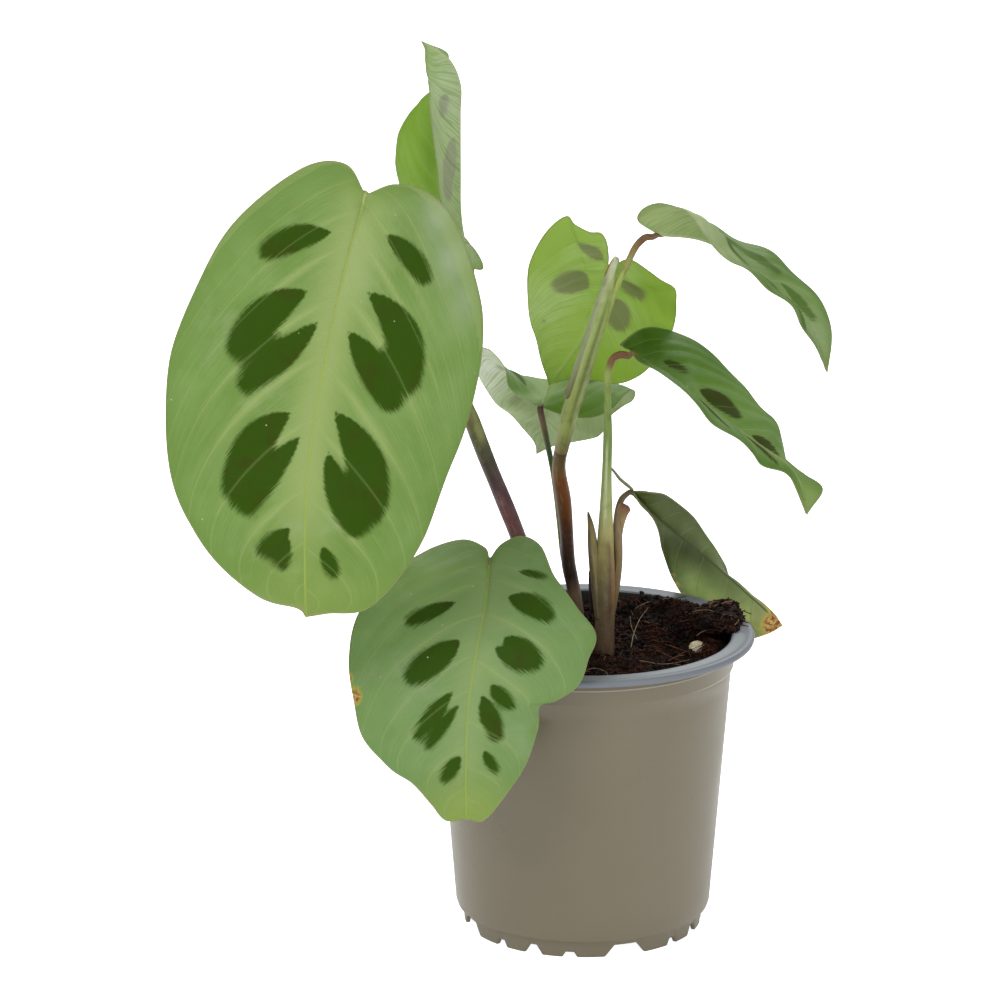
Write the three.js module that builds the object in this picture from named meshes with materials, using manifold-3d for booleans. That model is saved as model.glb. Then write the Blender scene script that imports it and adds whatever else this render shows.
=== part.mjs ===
// Prayer plant (Maranta) with eight leaves on three shoots, in a tapered nursery pot.
// Millimetres, +Z up; the plant's front faces -Y and the pot stands on z = 0.

import * as THREE from "three";
import { mergeVertices } from "three/addons/utils/BufferGeometryUtils.js";
import Module from "manifold-3d";

// ---- Driving sizes ------------------------------------------------------------------

const GAP = 0.3;
const POT_HEIGHT = 106.4;
const RIM_RADIUS = 60;
const RIM_DROP = 2.6;
const WALL = 1.1;
const WALL_TOP_RADIUS = 52.8;
const STEP_HEIGHT = 95.4;
const STEP_DEPTH = 0.5;
const RIDGE_RADIUS = 44.8;
const RIDGE_HEIGHT = 6.8;
const FOOT_RADIUS = 42.2;
const FLOOR_HEIGHT = 7.4;
const FLOOR_THICKNESS = 1.4;
const POT_SEGMENTS = 64;

// Notches in one quarter of the foot ring: turn in degrees, widths and height in millimetres.
const FOOT_NOTCHES = [
  { turn: 0, bottom: 15, top: 8.3, height: 4.1 },
  { turn: 27, bottom: 4.6, top: 2.4, height: 2.4 },
  { turn: 45, bottom: 6.8, top: 2.4, height: 3.4 },
  { turn: 63, bottom: 5.3, top: 2.9, height: 1.9 },
];
const FOOT_QUARTER_START = 20;

const SOIL_LEVEL = 97.6;
const SOIL_RADIUS = 50.9;
const SOIL_BOTTOM_RADIUS = 42.2;
const SOIL_LUMP = 1.3;
const SOIL_RINGS = 11;
const SOIL_SECTORS = 40;
const CLUMP = { centre: [48.5, 14, 106.4], size: [8.8, 14.5, 4.9] };
const BEAD = { centre: [40, 3, 99.3], radius: 2.8 };

const BLADE = 0.7;
const BLADE_ROWS = 18;
const HALF_COLUMNS = 4;
const STEM_SIDES = 9;

// The group is moved by these, so that the part's box is centred on the origin.
const CENTRE_X = -27.28;
const CENTRE_Y = -1.5;

const COLOURS = {
  pot: 0x857c6c,
  soil: 0x2b1a14,
  bead: 0xe9dcc0,
  leaf: 0x7ea25c,
  youngLeaf: 0x86ad4f,
  stem: 0x7d8a4a,
  cane: 0x4a2c28,
  dry: 0x9c7a4e,
};

// ---- Leaves -------------------------------------------------------------------------
// midrib: points from the petiole to the tip. sky: the upper side's direction, base to tip.
// Each outline point: distance along the midrib, distance out from it, lift in degrees.
// bulge: rise of each half between midrib and margin, as a share of its width.
// wave: height of the margin's waves, how many there are, and where they start.

const LEAVES = {
  leaf_1: {
    midrib: [[-74, -52, 273], [-81, -65, 249], [-87, -74, 222], [-92, -80, 194],
      [-94, -85, 166], [-94, -86, 137]],
    sky: [[0, -1, 0.2]],
    left: [[-6, 9, 4], [-5, 22, 4], [5, 34, 3], [28, 47, -2], [57, 51, -7], [89, 47, -8],
      [123, 37, -7], [141, 22, -6], [143, 7, -6]],
    right: [[-8, 9, 6], [-3, 22, 6], [17, 37, 2], [36, 45, -2], [67, 51, -6], [99, 46, -8],
      [121, 34, -7], [137, 16, -6], [141, 3, -6]],
    bulge: [0.03, 0.03],
    wave: [0.7, 4, 0.1],
  },
  leaf_2: {
    midrib: [[-33, -25, 140], [-34, -43, 131], [-37, -59, 119], [-40, -69, 102],
      [-41, -75, 83], [-41, -77, 63]],
    sky: [[0, -1, 0.9]],
    left: [[-7, 4, 10], [-10, 11, 10], [-3, 18, 10], [12, 23, 9], [23, 31, 7], [31, 39, 5],
      [40, 38, 2], [49, 36, -1], [56, 29, -3], [59, 24, -4], [68, 24, -3], [82, 20, 0],
      [93, 13, 0], [101, 6, 0]],
    right: [[-5, 2, 10], [-7, 10, 10], [1, 22, 10], [15, 33, 6], [35, 42, -1], [51, 43, -4],
      [63, 39, -4], [74, 35, -1], [83, 26, 0], [88, 18, 0], [95, 12, 0], [101, 7, 0]],
    bulge: [0.04, 0.04],
    wave: [0.9, 4, 0.4],
  },
  leaf_3: {
    midrib: [[-40, -10, 239], [-42, -10, 250], [-43, -10, 260], [-43, -11, 271],
      [-43, -12, 282], [-43, -12, 293], [-43, -13, 303], [-47, -14, 312], [-56, -15, 318]],
    sky: [[-1, 0, 0]],
    left: [[0, 10, -1], [-1, 19, 16], [7, 27, 28], [17, 31, 37], [27, 32, 44], [35, 31, 46],
      [45, 28, 48], [51, 24, 48], [55, 19, 47], [60, 13, 44], [70, 7, 34], [76, 3, -10]],
    right: [[0, 7, -44], [9, 10, -17], [14, 13, 9], [23, 16, 17], [30, 16, 25],
      [38, 15, 30], [47, 15, 36], [56, 15, 41], [65, 13, 52], [77, 10, 55], [81, 6, 51],
      [83, 2, 50]],
    bulge: [0.1, 0.06],
    wave: [0, 3, 0],
  },
  leaf_4: {
    midrib: [[8, 12, 233], [6, 20, 224], [3, 27, 214], [-1, 33, 204], [-6, 38, 195],
      [-12, 43, 185]],
    sky: [[0, 0.8, 0.6]],
    left: [[-6, 3, 72], [-9, 6, 70], [-11, 9, 60], [-10, 12, 46], [-11, 17, 37],
      [-12, 21, 37], [-8, 24, 27], [-1, 26, 17], [9, 27, 11], [20, 25, 3], [35, 20, 0],
      [50, 10, -5], [58, 3, -15]],
    right: [[-7, 5, 7], [-6, 12, -8], [-3, 18, -11], [0, 24, -10], [6, 26, -14],
      [17, 28, -17], [30, 27, -17], [39, 25, -18], [46, 20, -18], [51, 12, -13], [58, 4, 6]],
    bulge: [0.05, 0.05],
    wave: [0.4, 4, 0.2],
  },
  leaf_5: {
    midrib: [[24, 0, 249], [40, 0, 247], [55, 0, 239], [68, 0, 228], [78, 0, 215],
      [84, 0, 200]],
    sky: [[0.3, 0, 1]],
    left: [[-3, 6, 9], [0, 16, 13], [9, 22, 8], [20, 24, 3], [32, 24, 5], [44, 23, 13],
      [57, 19, 19], [67, 13, 33], [75, 6, 48]],
    right: [[-7, 7, 40], [-6, 14, 44], [0, 20, 44], [8, 21, 35], [16, 20, 11], [25, 20, 2],
      [32, 19, 1], [42, 17, -1], [53, 14, 1], [62, 11, -7], [75, 5, -9]],
    bulge: [0.04, 0.04],
    wave: [0.7, 4, 0.3],
  },
  leaf_6: {
    midrib: [[16, -3, 208], [31, -7, 199], [44, -11, 189], [58, -14, 179], [72, -14, 168],
      [77, -12, 152]],
    sky: [[0.4, -0.35, 1], [0.5, -0.35, 0.9], [0.7, -0.3, 0.6]],
    left: [[-5, 4, -35], [-3, 13, 3], [5, 22, 7], [19, 27, 3], [28, 28, 1], [42, 28, -4],
      [58, 24, -5], [65, 17, -13], [71, 10, -25], [76, 8, 3], [81, 8, 45]],
    right: [[4, 8, 17], [12, 14, 25], [22, 17, 27], [30, 18, 23], [37, 18, 18],
      [47, 16, 19], [53, 13, 11], [58, 11, -1], [67, 5, -7], [76, 3, -22], [82, 2, -12]],
    bulge: [0.06, 0.03],
    wave: [0.5, 4, 0.5],
  },
  leaf_7: {
    midrib: [[17, 12, 154], [26, 26, 141], [36, 39, 129], [47, 51, 117], [60, 60, 103],
      [74, 64, 89]],
    sky: [[0.2, -0.7, 0.7], [0.5, -0.75, 0.5], [0.6, -0.5, 0.6]],
    left: [[5, 4, 70], [18, 8, 42], [41, 9, 23], [59, 7, 0], [72, 7, -26], [81, 9, -49],
      [93, 8, -40], [100, 5, -29]],
    right: [[5, 3, 11], [18, 3, 9], [38, 8, -46], [55, 14, -54], [71, 18, -57],
      [86, 20, -57], [95, 15, -54], [101, 6, -53]],
    bulge: [0.06, 0.06],
    wave: [0.3, 4, 0],
  },
  leaf_8: {
    midrib: [[-15, 30, 180], [-13, 45, 182], [-12, 59, 183], [-12, 72, 176], [-13, 80, 163],
      [-16, 83, 149]],
    sky: [[0, 0, 1]],
    left: [[-2, 6, 32], [0, 13, 31], [7, 18, 40], [15, 25, 38], [25, 28, 25], [34, 26, 7],
      [44, 22, -3], [52, 17, -7], [63, 9, 19], [70, 2, 47]],
    right: [[-2, 7, -15], [-3, 18, -8], [1, 24, -3], [10, 28, 2], [19, 31, -1],
      [29, 31, -14], [45, 25, -25], [58, 22, -35], [65, 13, -60], [70, 5, -61]],
    bulge: [-0.16, 0.06],
    wave: [0.3, 4, 0],
  },
};

// ---- Stems --------------------------------------------------------------------------
// Each route point: x, y, z and the radius there. A piece is the part of its route between
// two shares of its length; pieces of one route that meet leave the gap between them.

const ROUTES = {
  left_shoot: [[-12.5, 12, 84, 3], [-12.5, 12, 97, 3], [-14.3, 10, 110.3, 3],
    [-18.6, 5, 125.3, 2.8], [-23.4, 0, 141.3, 2.8], [-28.3, -4, 155.1, 2.8],
    [-33.9, -8, 170.2, 2.7], [-38.6, -11, 183.8, 2.8], [-41.9, -13, 193.9, 2.2],
    [-42.9, -13, 203, 1.8], [-42.2, -12, 215, 1.6], [-40.8, -11, 228, 1.5],
    [-39.5, -10, 238, 1.3]],
  left_branch: [[-40.9, -17.2, 189, 1.6], [-47.6, -22, 206, 1.6], [-57.2, -31, 233, 1.5],
    [-66.3, -41, 257, 1.4], [-73.8, -50.8, 272.4, 1.2]],
  front_branch: [[-18.5, 7.5, 84, 1.7], [-18.5, 7.5, 96, 1.7], [-20.5, 2, 112, 1.6],
    [-25, -8, 126, 1.5], [-33, -24.4, 138.8, 1.2]],
  middle_shoot: [[-1.5, 35, 86, 2.6], [-1.5, 35, 97, 2.6], [-2.6, 34.2, 109, 2.4],
    [-5, 31.5, 122, 2.5], [-5.8, 28.6, 134, 2.4], [-7, 25.4, 147, 2.8],
    [-8.7, 22, 160, 2.4], [-6.9, 19.2, 171, 2.5], [-3.2, 16, 184.2, 2.2],
    [0.6, 12.9, 195, 1.5], [3.4, 10, 206, 1.25], [7, 7, 217, 1.15], [10.4, 5, 228, 1.15],
    [14.4, 3, 237.5, 1.1], [17.2, 1.4, 243.8, 1.2], [20.4, 0.2, 247.4, 1.25], [23.1, 0, 247.7, 1.1]],
  middle_branch: [[-6.2, 14, 187, 1.3], [-2.6, 11.2, 198, 1.5], [0.8, 8.4, 209, 1.5],
    [4.1, 6.2, 220, 1.5], [7.4, 4.6, 230, 1.5], [9.8, 4.4, 236.4, 1.3],
    [10.6, 5.6, 238.4, 1.2], [9.6, 8.2, 236.6, 1.15], [8.3, 10, 233.5, 1]],
  back_branch: [[-7.3, 34.8, 126.5, 1], [-8.4, 33.4, 137.3, 0.95], [-10, 32.2, 151.1, 0.95],
    [-11.4, 31.2, 160, 1], [-13.2, 30.4, 169, 1.1], [-15.2, 29.8, 178.7, 1.2]],
  right_shoot: [[7.3, 2, 84, 3.5], [7.3, 2, 96, 3.5], [7.3, 1.8, 108, 3.4],
    [7.3, 1, 120, 3.8], [7.3, 0.4, 132, 3.3], [7.4, 0, 146.4, 2.5], [7.6, -1, 161.5, 1.8],
    [7.9, -1, 176, 1.6], [7.8, -2, 190.4, 1.2], [7.8, -2, 199.4, 1.15],
    [9.4, -2, 204.9, 1.3], [12.2, -2.6, 206.7, 1.35], [15, -3, 206.4, 1.2]],
  right_branch: [[12.2, 2.2, 131, 1.2], [11.4, 2.8, 139, 1.4], [11.4, 4, 146, 1.3],
    [12.8, 7.4, 151.6, 1.1], [15.8, 12.2, 153.4, 0.9]],
  sheath_tip: [[2.7, 0.2, 134, 0.8], [2.7, 0.3, 140, 1.3], [2.2, 0.5, 145, 1.1],
    [1.2, 0.6, 149.8, 0.35]],
  small_tip: [[2.9, 4, 112, 0.8], [2.5, 3.6, 119, 0.8], [1.9, 3.2, 127.4, 0.35]],
  dry_flare: [[14.1, 4.4, 137, 0.6], [14.1, 5.1, 143, 1.1], [15.9, 6.3, 147.6, 1.8],
    [17.4, 7.2, 150.4, 1.5]],
  dry_strip: [[10.4, 0.7, 164, 0.5], [12.6, 4.6, 160.2, 0.6], [15.6, 9.6, 156.4, 0.6]],
};

const STEM_PIECES = [
  { name: "cane_left", route: "left_shoot", from: 0, to: 0.6, colour: "cane" },
  { name: "petiole_3", route: "left_shoot", from: 0.602, to: 1, colour: "stem" },
  { name: "petiole_1", route: "left_branch", from: 0, to: 1, colour: "stem" },
  { name: "petiole_2", route: "front_branch", from: 0, to: 1, colour: "stem" },
  { name: "cane_middle", route: "middle_shoot", from: 0, to: 0.58, colour: "cane" },
  { name: "petiole_5", route: "middle_shoot", from: 0.5818, to: 1, colour: "stem" },
  { name: "petiole_4", route: "middle_branch", from: 0, to: 1, colour: "stem" },
  { name: "petiole_8", route: "back_branch", from: 0, to: 1, colour: "stem" },
  { name: "cane_right", route: "right_shoot", from: 0, to: 0.42, colour: "cane" },
  { name: "petiole_6", route: "right_shoot", from: 0.4225, to: 1, colour: "stem" },
  { name: "petiole_7", route: "right_branch", from: 0, to: 1, colour: "dry" },
  { name: "sheath_tip", route: "sheath_tip", from: 0, to: 1, colour: "dry" },
  { name: "sheath_small", route: "small_tip", from: 0, to: 1, colour: "cane" },
  { name: "sheath_dry", route: "dry_flare", from: 0, to: 1, colour: "dry" },
  { name: "sheath_strip", route: "dry_strip", from: 0, to: 1, colour: "dry" },
];

// ---- Small helpers ------------------------------------------------------------------

const wasm = await Module();
wasm.setup();

function vector(point) {
  return new THREE.Vector3(point[0], point[1], point[2]);
}

function smoothCurve(points) {
  return new THREE.CatmullRomCurve3(points, false, "catmullrom", 0.5);
}

/** Smooth value at share t of evenly spaced control numbers. */
function smoothNumber(values, t) {
  const last = values.length - 1;
  const place = THREE.MathUtils.clamp(t, 0, 1) * last;
  const index = Math.min(Math.floor(place), last - 1);
  const rest = place - index;
  const before = index > 0 ? values[index - 1] : 2 * values[0] - values[1];
  const after = index + 2 <= last ? values[index + 2] : 2 * values[last] - values[last - 1];
  const slopeIn = (values[index + 1] - before) / 2;
  const slopeOut = (after - values[index]) / 2;
  const rise = values[index + 1] - values[index];
  return values[index] + slopeIn * rest + (3 * rise - 2 * slopeIn - slopeOut) * rest ** 2
    + (slopeIn + slopeOut - 2 * rise) * rest ** 3;
}

function geometryFrom(positions, indices) {
  const geometry = new THREE.BufferGeometry();
  geometry.setAttribute("position", new THREE.Float32BufferAttribute(positions, 3));
  geometry.setIndex(indices);
  return geometry;
}

function solidFrom(geometry) {
  const bare = geometry.clone();
  bare.deleteAttribute("normal");
  bare.deleteAttribute("uv");
  const merged = mergeVertices(bare, 1e-4);
  return new wasm.Manifold(new wasm.Mesh({
    numProp: 3,
    vertProperties: new Float32Array(merged.attributes.position.array),
    triVerts: new Uint32Array(merged.index.array),
  }));
}

function geometryOf(solid) {
  const mesh = solid.getMesh();
  return geometryFrom(Array.from(mesh.vertProperties), Array.from(mesh.triVerts));
}

function material(colour, roughness) {
  return new THREE.MeshStandardMaterial({ color: COLOURS[colour], roughness, metalness: 0 });
}

// ---- Pot ----------------------------------------------------------------------------

function potProfile() {
  const rimTop = POT_HEIGHT;
  const inner = WALL_TOP_RADIUS - WALL;
  const floorRadius = RIDGE_RADIUS - WALL - 0.7;
  return [
    [0, FLOOR_HEIGHT - FLOOR_THICKNESS],
    [FOOT_RADIUS - 1.6, FLOOR_HEIGHT - FLOOR_THICKNESS],
    [FOOT_RADIUS - 1.4, 0],
    [FOOT_RADIUS, 0],
    [FOOT_RADIUS + 0.5, RIDGE_HEIGHT - 0.9],
    [RIDGE_RADIUS, RIDGE_HEIGHT],
    [RIDGE_RADIUS + 0.4, RIDGE_HEIGHT + 1.6],
    [WALL_TOP_RADIUS - STEP_DEPTH - 0.3, STEP_HEIGHT - 0.6],
    [WALL_TOP_RADIUS, STEP_HEIGHT],
    [WALL_TOP_RADIUS + 0.2, rimTop - RIM_DROP - 0.4],
    [RIM_RADIUS - 2, rimTop - RIM_DROP],
    [RIM_RADIUS - 0.3, rimTop - RIM_DROP + 0.4],
    [RIM_RADIUS, rimTop - 0.9],
    [RIM_RADIUS - 1, rimTop],
    [RIM_RADIUS - 3.4, rimTop - 0.5],
    [inner + 2, rimTop - 0.1],
    [inner + 0.6, rimTop - 0.4],
    [inner, rimTop - 1.8],
    [inner, STEP_HEIGHT],
    [inner - 0.7, STEP_HEIGHT - 2],
    [floorRadius, FLOOR_HEIGHT],
    [0, FLOOR_HEIGHT],
  ];
}

/** A bar with a trapezoid section that cuts one notch through the foot ring. */
function notchCutter(notch, angle) {
  const depth = 8;
  const below = 1;
  const slope = (notch.bottom - notch.top) / 2 / notch.height;
  const lowHalf = notch.bottom / 2 + slope * below;
  const topHalf = notch.top / 2;
  const section = new THREE.Shape([
    new THREE.Vector2(-lowHalf, -below),
    new THREE.Vector2(lowHalf, -below),
    new THREE.Vector2(topHalf, notch.height),
    new THREE.Vector2(-topHalf, notch.height),
  ]);
  const bar = new THREE.ExtrudeGeometry(section, { depth, bevelEnabled: false });
  bar.translate(0, 0, FOOT_RADIUS - depth / 2);
  bar.rotateX(Math.PI / 2);
  bar.rotateZ(THREE.MathUtils.degToRad(angle));
  return solidFrom(bar);
}

function footNotches() {
  const notches = [];
  for (let quarter = 0; quarter < 4; quarter += 1) {
    FOOT_NOTCHES.forEach((notch) => {
      notches.push(notchCutter(notch, FOOT_QUARTER_START + quarter * 90 + notch.turn));
    });
  }
  return wasm.Manifold.union(notches);
}

function potSolid() {
  const profile = potProfile().map(([radius, z]) => new THREE.Vector2(radius, z));
  const lathe = new THREE.LatheGeometry(profile, POT_SEGMENTS);
  lathe.rotateX(Math.PI / 2);
  return solidFrom(lathe).subtract(footNotches());
}

// ---- Soil ---------------------------------------------------------------------------

/** Gentle lumps, a rise round the middle shoot and a rise towards the clump. */
function soilHeight(x, y) {
  const lumps = Math.sin(0.31 * x + 0.9) * Math.cos(0.27 * y - 0.4)
    + 0.6 * Math.sin(0.53 * x - 0.38 * y + 2) + 0.4 * Math.cos(0.71 * y + 0.23 * x);
  const backRise = 4.2 * Math.exp(-((x + 12) ** 2 + (y - 40) ** 2) / 260)
    + 5.5 * Math.exp(-((x - 28) ** 2 + (y - 36) ** 2) / 300);
  const clumpRise = 6.6 * Math.exp(-((x - 44) ** 2 + (y - 19) ** 2) / 170);
  return SOIL_LEVEL + SOIL_LUMP * 0.6 * lumps + backRise + clumpRise;
}

function soilBody() {
  const positions = [0, 0, soilHeight(0, 0), 0, 0, FLOOR_HEIGHT + GAP];
  const indices = [];
  const spot = (ring, sector) => 2 + (ring - 1) * SOIL_SECTORS + (sector % SOIL_SECTORS);
  for (let ring = 1; ring <= SOIL_RINGS + 1; ring += 1) {
    for (let sector = 0; sector < SOIL_SECTORS; sector += 1) {
      const turn = (sector / SOIL_SECTORS) * 2 * Math.PI;
      const bottom = ring > SOIL_RINGS;
      const radius = bottom ? SOIL_BOTTOM_RADIUS : SOIL_RADIUS * (ring / SOIL_RINGS) ** 0.85;
      const x = radius * Math.cos(turn);
      const y = radius * Math.sin(turn);
      positions.push(x, y, bottom ? FLOOR_HEIGHT + GAP : soilHeight(x, y));
    }
  }
  for (let sector = 0; sector < SOIL_SECTORS; sector += 1) {
    indices.push(0, spot(1, sector), spot(1, sector + 1));
    indices.push(1, spot(SOIL_RINGS + 1, sector + 1), spot(SOIL_RINGS + 1, sector));
    for (let ring = 1; ring <= SOIL_RINGS; ring += 1) {
      indices.push(spot(ring, sector), spot(ring + 1, sector), spot(ring + 1, sector + 1));
      indices.push(spot(ring, sector), spot(ring + 1, sector + 1), spot(ring, sector + 1));
    }
  }
  return solidFrom(geometryFrom(positions, indices));
}

/** A lumpy clod that leans on the rim, cut to the rim and to the soil below it. */
function clumpSolid(soil) {
  const ball = new THREE.IcosahedronGeometry(1, 4);
  const place = ball.attributes.position;
  for (let index = 0; index < place.count; index += 1) {
    const x = place.getX(index);
    const y = place.getY(index);
    const z = place.getZ(index);
    const swell = 1 + 0.09 * Math.sin(5.1 * x + 1.3 * y) + 0.07 * Math.cos(6.3 * y - 2.2 * z)
      + 0.05 * Math.sin(8.7 * z + 3.1 * x);
    place.setXYZ(index, CLUMP.centre[0] + CLUMP.size[0] * swell * x,
      CLUMP.centre[1] + CLUMP.size[1] * swell * y, CLUMP.centre[2] + CLUMP.size[2] * swell * z);
  }
  const mouth = SOIL_RADIUS - 2 * GAP;
  const beyond = RIM_RADIUS + 30;
  const top = POT_HEIGHT + GAP;
  const low = top - 40;
  const section = [[mouth, low], [beyond, low], [beyond, top], [mouth, top], [mouth, low]];
  const ring = new THREE.LatheGeometry(
    section.map(([radius, z]) => new THREE.Vector2(radius, z)), POT_SEGMENTS);
  ring.rotateX(Math.PI / 2);
  return solidFrom(ball).subtract(solidFrom(ring)).subtract(soil.translate([0, 0, 2 * GAP]));
}

function beadSolid(extra) {
  const ball = new THREE.IcosahedronGeometry(1, 2);
  const size = BEAD.radius + extra;
  ball.scale(size * 1.05, size * 0.95, size * 0.86);
  ball.translate(...BEAD.centre);
  return solidFrom(ball);
}

// ---- Stems --------------------------------------------------------------------------

/** Round bar along a route, between two shares of its length, closed at both ends. */
function stemGeometry(route, from, to, extra) {
  const curve = smoothCurve(route.map(vector));
  const lengths = curve.getLengths(200);
  const total = lengths[lengths.length - 1];
  const steps = Math.max(3, Math.round(((to - from) * total) / 6));
  const radii = route.map((point) => point[3]);
  const positions = [];
  const indices = [];
  let side = new THREE.Vector3(1, 0, 0);
  for (let step = 0; step <= steps; step += 1) {
    const share = from + ((to - from) * step) / steps;
    const t = curve.getUtoTmapping(share);
    const centre = curve.getPoint(t);
    const forward = curve.getTangent(t);
    const across = side.clone().addScaledVector(forward, -side.dot(forward)).normalize();
    const up = forward.clone().cross(across);
    const radius = smoothNumber(radii, t) + extra;
    if (step === 0) centre.addScaledVector(forward, -extra);
    side = across;
    for (let corner = 0; corner < STEM_SIDES; corner += 1) {
      const turn = (corner / STEM_SIDES) * 2 * Math.PI;
      const point = centre.clone().addScaledVector(across, radius * Math.cos(turn))
        .addScaledVector(up, radius * Math.sin(turn));
      positions.push(point.x, point.y, point.z);
    }
  }
  const spot = (step, corner) => step * STEM_SIDES + (corner % STEM_SIDES);
  for (let step = 0; step < steps; step += 1) {
    for (let corner = 0; corner < STEM_SIDES; corner += 1) {
      indices.push(spot(step, corner), spot(step, corner + 1), spot(step + 1, corner + 1));
      indices.push(spot(step, corner), spot(step + 1, corner + 1), spot(step + 1, corner));
    }
  }
  for (let corner = 1; corner < STEM_SIDES - 1; corner += 1) {
    indices.push(spot(0, 0), spot(0, corner + 1), spot(0, corner));
    indices.push(spot(steps, 0), spot(steps, corner), spot(steps, corner + 1));
  }
  return geometryFrom(positions, indices);
}

// ---- Leaf blades --------------------------------------------------------------------

/** Point, forward, upward and sideways directions at a distance along the midrib. */
function midribFrame(leaf, distance) {
  const t = leaf.curve.getUtoTmapping(0, THREE.MathUtils.clamp(distance, 0, leaf.length));
  const point = leaf.curve.getPoint(t);
  const forward = leaf.curve.getTangent(t);
  const beyond = distance - THREE.MathUtils.clamp(distance, 0, leaf.length);
  point.addScaledVector(forward, beyond);
  const share = THREE.MathUtils.clamp(distance / leaf.length, 0, 1);
  const sky = leaf.sky.length > 1 ? leaf.skyCurve.getPoint(share) : vector(leaf.sky[0]);
  const up = sky.addScaledVector(forward, -sky.dot(forward)).normalize();
  const sideways = forward.clone().cross(up);
  return { point, forward, up, sideways };
}

/** Point of the blade's middle surface: share along the outline, share out to the margin. */
function bladePoint(leaf, share, out, side) {
  const margin = (side > 0 ? leaf.rightCurve : leaf.leftCurve).getPoint(share);
  const start = leaf.length * share;
  const along = start + (margin.x - start) * out;
  const width = Math.max(margin.y, 0);
  const lift = THREE.MathUtils.degToRad(margin.z);
  const { point, up, sideways } = midribFrame(leaf, along);
  const [height, count, offset] = leaf.wave;
  const phase = 2 * Math.PI * ((count * along) / leaf.length + offset + (side > 0 ? 0.37 : 0));
  const reach = THREE.MathUtils.clamp(width / (0.3 * leaf.length), 0, 1);
  const bulge = leaf.bulge[side > 0 ? 1 : 0] * width * 4 * out * (1 - out)
    + height * out ** 2 * Math.sin(phase) * reach;
  const outward = width * out * Math.cos(lift) - bulge * Math.sin(lift);
  const upward = width * out * Math.sin(lift) + bulge * Math.cos(lift);
  return point.addScaledVector(sideways, side * outward).addScaledVector(up, upward);
}

function preparedLeaf(leaf) {
  const curve = smoothCurve(leaf.midrib.map(vector));
  const length = curve.getLength();
  const outline = (points) => smoothCurve([
    new THREE.Vector3(0, 0, points[0][2]),
    ...points.map(vector),
    new THREE.Vector3(length, 0, points[points.length - 1][2]),
  ]);
  const skyCurve = leaf.sky.length > 1 ? smoothCurve(leaf.sky.map(vector)) : null;
  return { ...leaf, curve, length, skyCurve, leftCurve: outline(leaf.left),
    rightCurve: outline(leaf.right) };
}

/** Middle surface as rows from base to tip; first and last row are single points. */
function bladeRows(leaf) {
  const rows = [];
  for (let row = 0; row <= BLADE_ROWS; row += 1) {
    const share = row / BLADE_ROWS;
    if (row === 0 || row === BLADE_ROWS) {
      rows.push([midribFrame(leaf, share * leaf.length).point]);
      continue;
    }
    const points = [];
    for (let column = -HALF_COLUMNS; column <= HALF_COLUMNS; column += 1) {
      const side = column < 0 ? -1 : 1;
      points.push(bladePoint(leaf, share, Math.abs(column) / HALF_COLUMNS, side));
    }
    rows.push(points);
  }
  return rows;
}

/** Triangles of the middle surface, split alike for both faces, as point indices. */
function bladeTriangles(rows) {
  const starts = [];
  let count = 0;
  rows.forEach((row) => {
    starts.push(count);
    count += row.length;
  });
  const triangles = [];
  const columns = 2 * HALF_COLUMNS;
  for (let row = 0; row < BLADE_ROWS; row += 1) {
    for (let column = 0; column < columns; column += 1) {
      const near = row === 0 ? starts[0] : starts[row] + column;
      const nearNext = row === 0 ? starts[0] : starts[row] + column + 1;
      const far = row === BLADE_ROWS - 1 ? starts[row + 1] : starts[row + 1] + column;
      const farNext = row === BLADE_ROWS - 1 ? starts[row + 1] : starts[row + 1] + column + 1;
      if (near !== nearNext) triangles.push([near, nearNext, farNext]);
      if (far !== farNext) triangles.push([near, farNext, far]);
    }
  }
  return { triangles, count };
}

function bladeGeometry(leaf) {
  const rows = bladeRows(leaf);
  const { triangles, count } = bladeTriangles(rows);
  const middle = geometryFrom(rows.flat().flatMap((point) => point.toArray()), triangles.flat());
  middle.computeVertexNormals();
  const positions = [];
  for (const side of [1, -1]) {
    rows.flat().forEach((point, index) => {
      const normal = new THREE.Vector3().fromBufferAttribute(middle.attributes.normal, index);
      positions.push(...point.clone().addScaledVector(normal, (side * BLADE) / 2).toArray());
    });
  }
  const indices = [];
  const rim = new Map();
  triangles.forEach(([a, b, c]) => {
    indices.push(a, b, c, count + a, count + c, count + b);
    [[a, b], [b, c], [c, a]].forEach(([from, to]) => {
      if (!rim.delete(`${to}-${from}`)) rim.set(`${from}-${to}`, [from, to]);
    });
  });
  rim.forEach(([from, to]) => {
    indices.push(to, from, count + from, to, count + from, count + to);
  });
  return geometryFrom(positions, indices);
}

// ---- Assembly -----------------------------------------------------------------------

const plant = new THREE.Group();
plant.name = "potted_prayer_plant";
plant.position.set(-CENTRE_X, -CENTRE_Y, 0);

function addNode(name, geometry, colour, roughness) {
  const flat = geometry.index ? geometry.toNonIndexed() : geometry;
  flat.computeVertexNormals();
  const mesh = new THREE.Mesh(flat, material(colour, roughness));
  mesh.name = name;
  plant.add(mesh);
}

const stemHoles = STEM_PIECES.filter((piece) => piece.from === 0).map((piece) =>
  solidFrom(stemGeometry(ROUTES[piece.route], 0, piece.to, GAP)));
const soil = soilBody().subtract(wasm.Manifold.union(stemHoles)).subtract(beadSolid(GAP));

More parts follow.
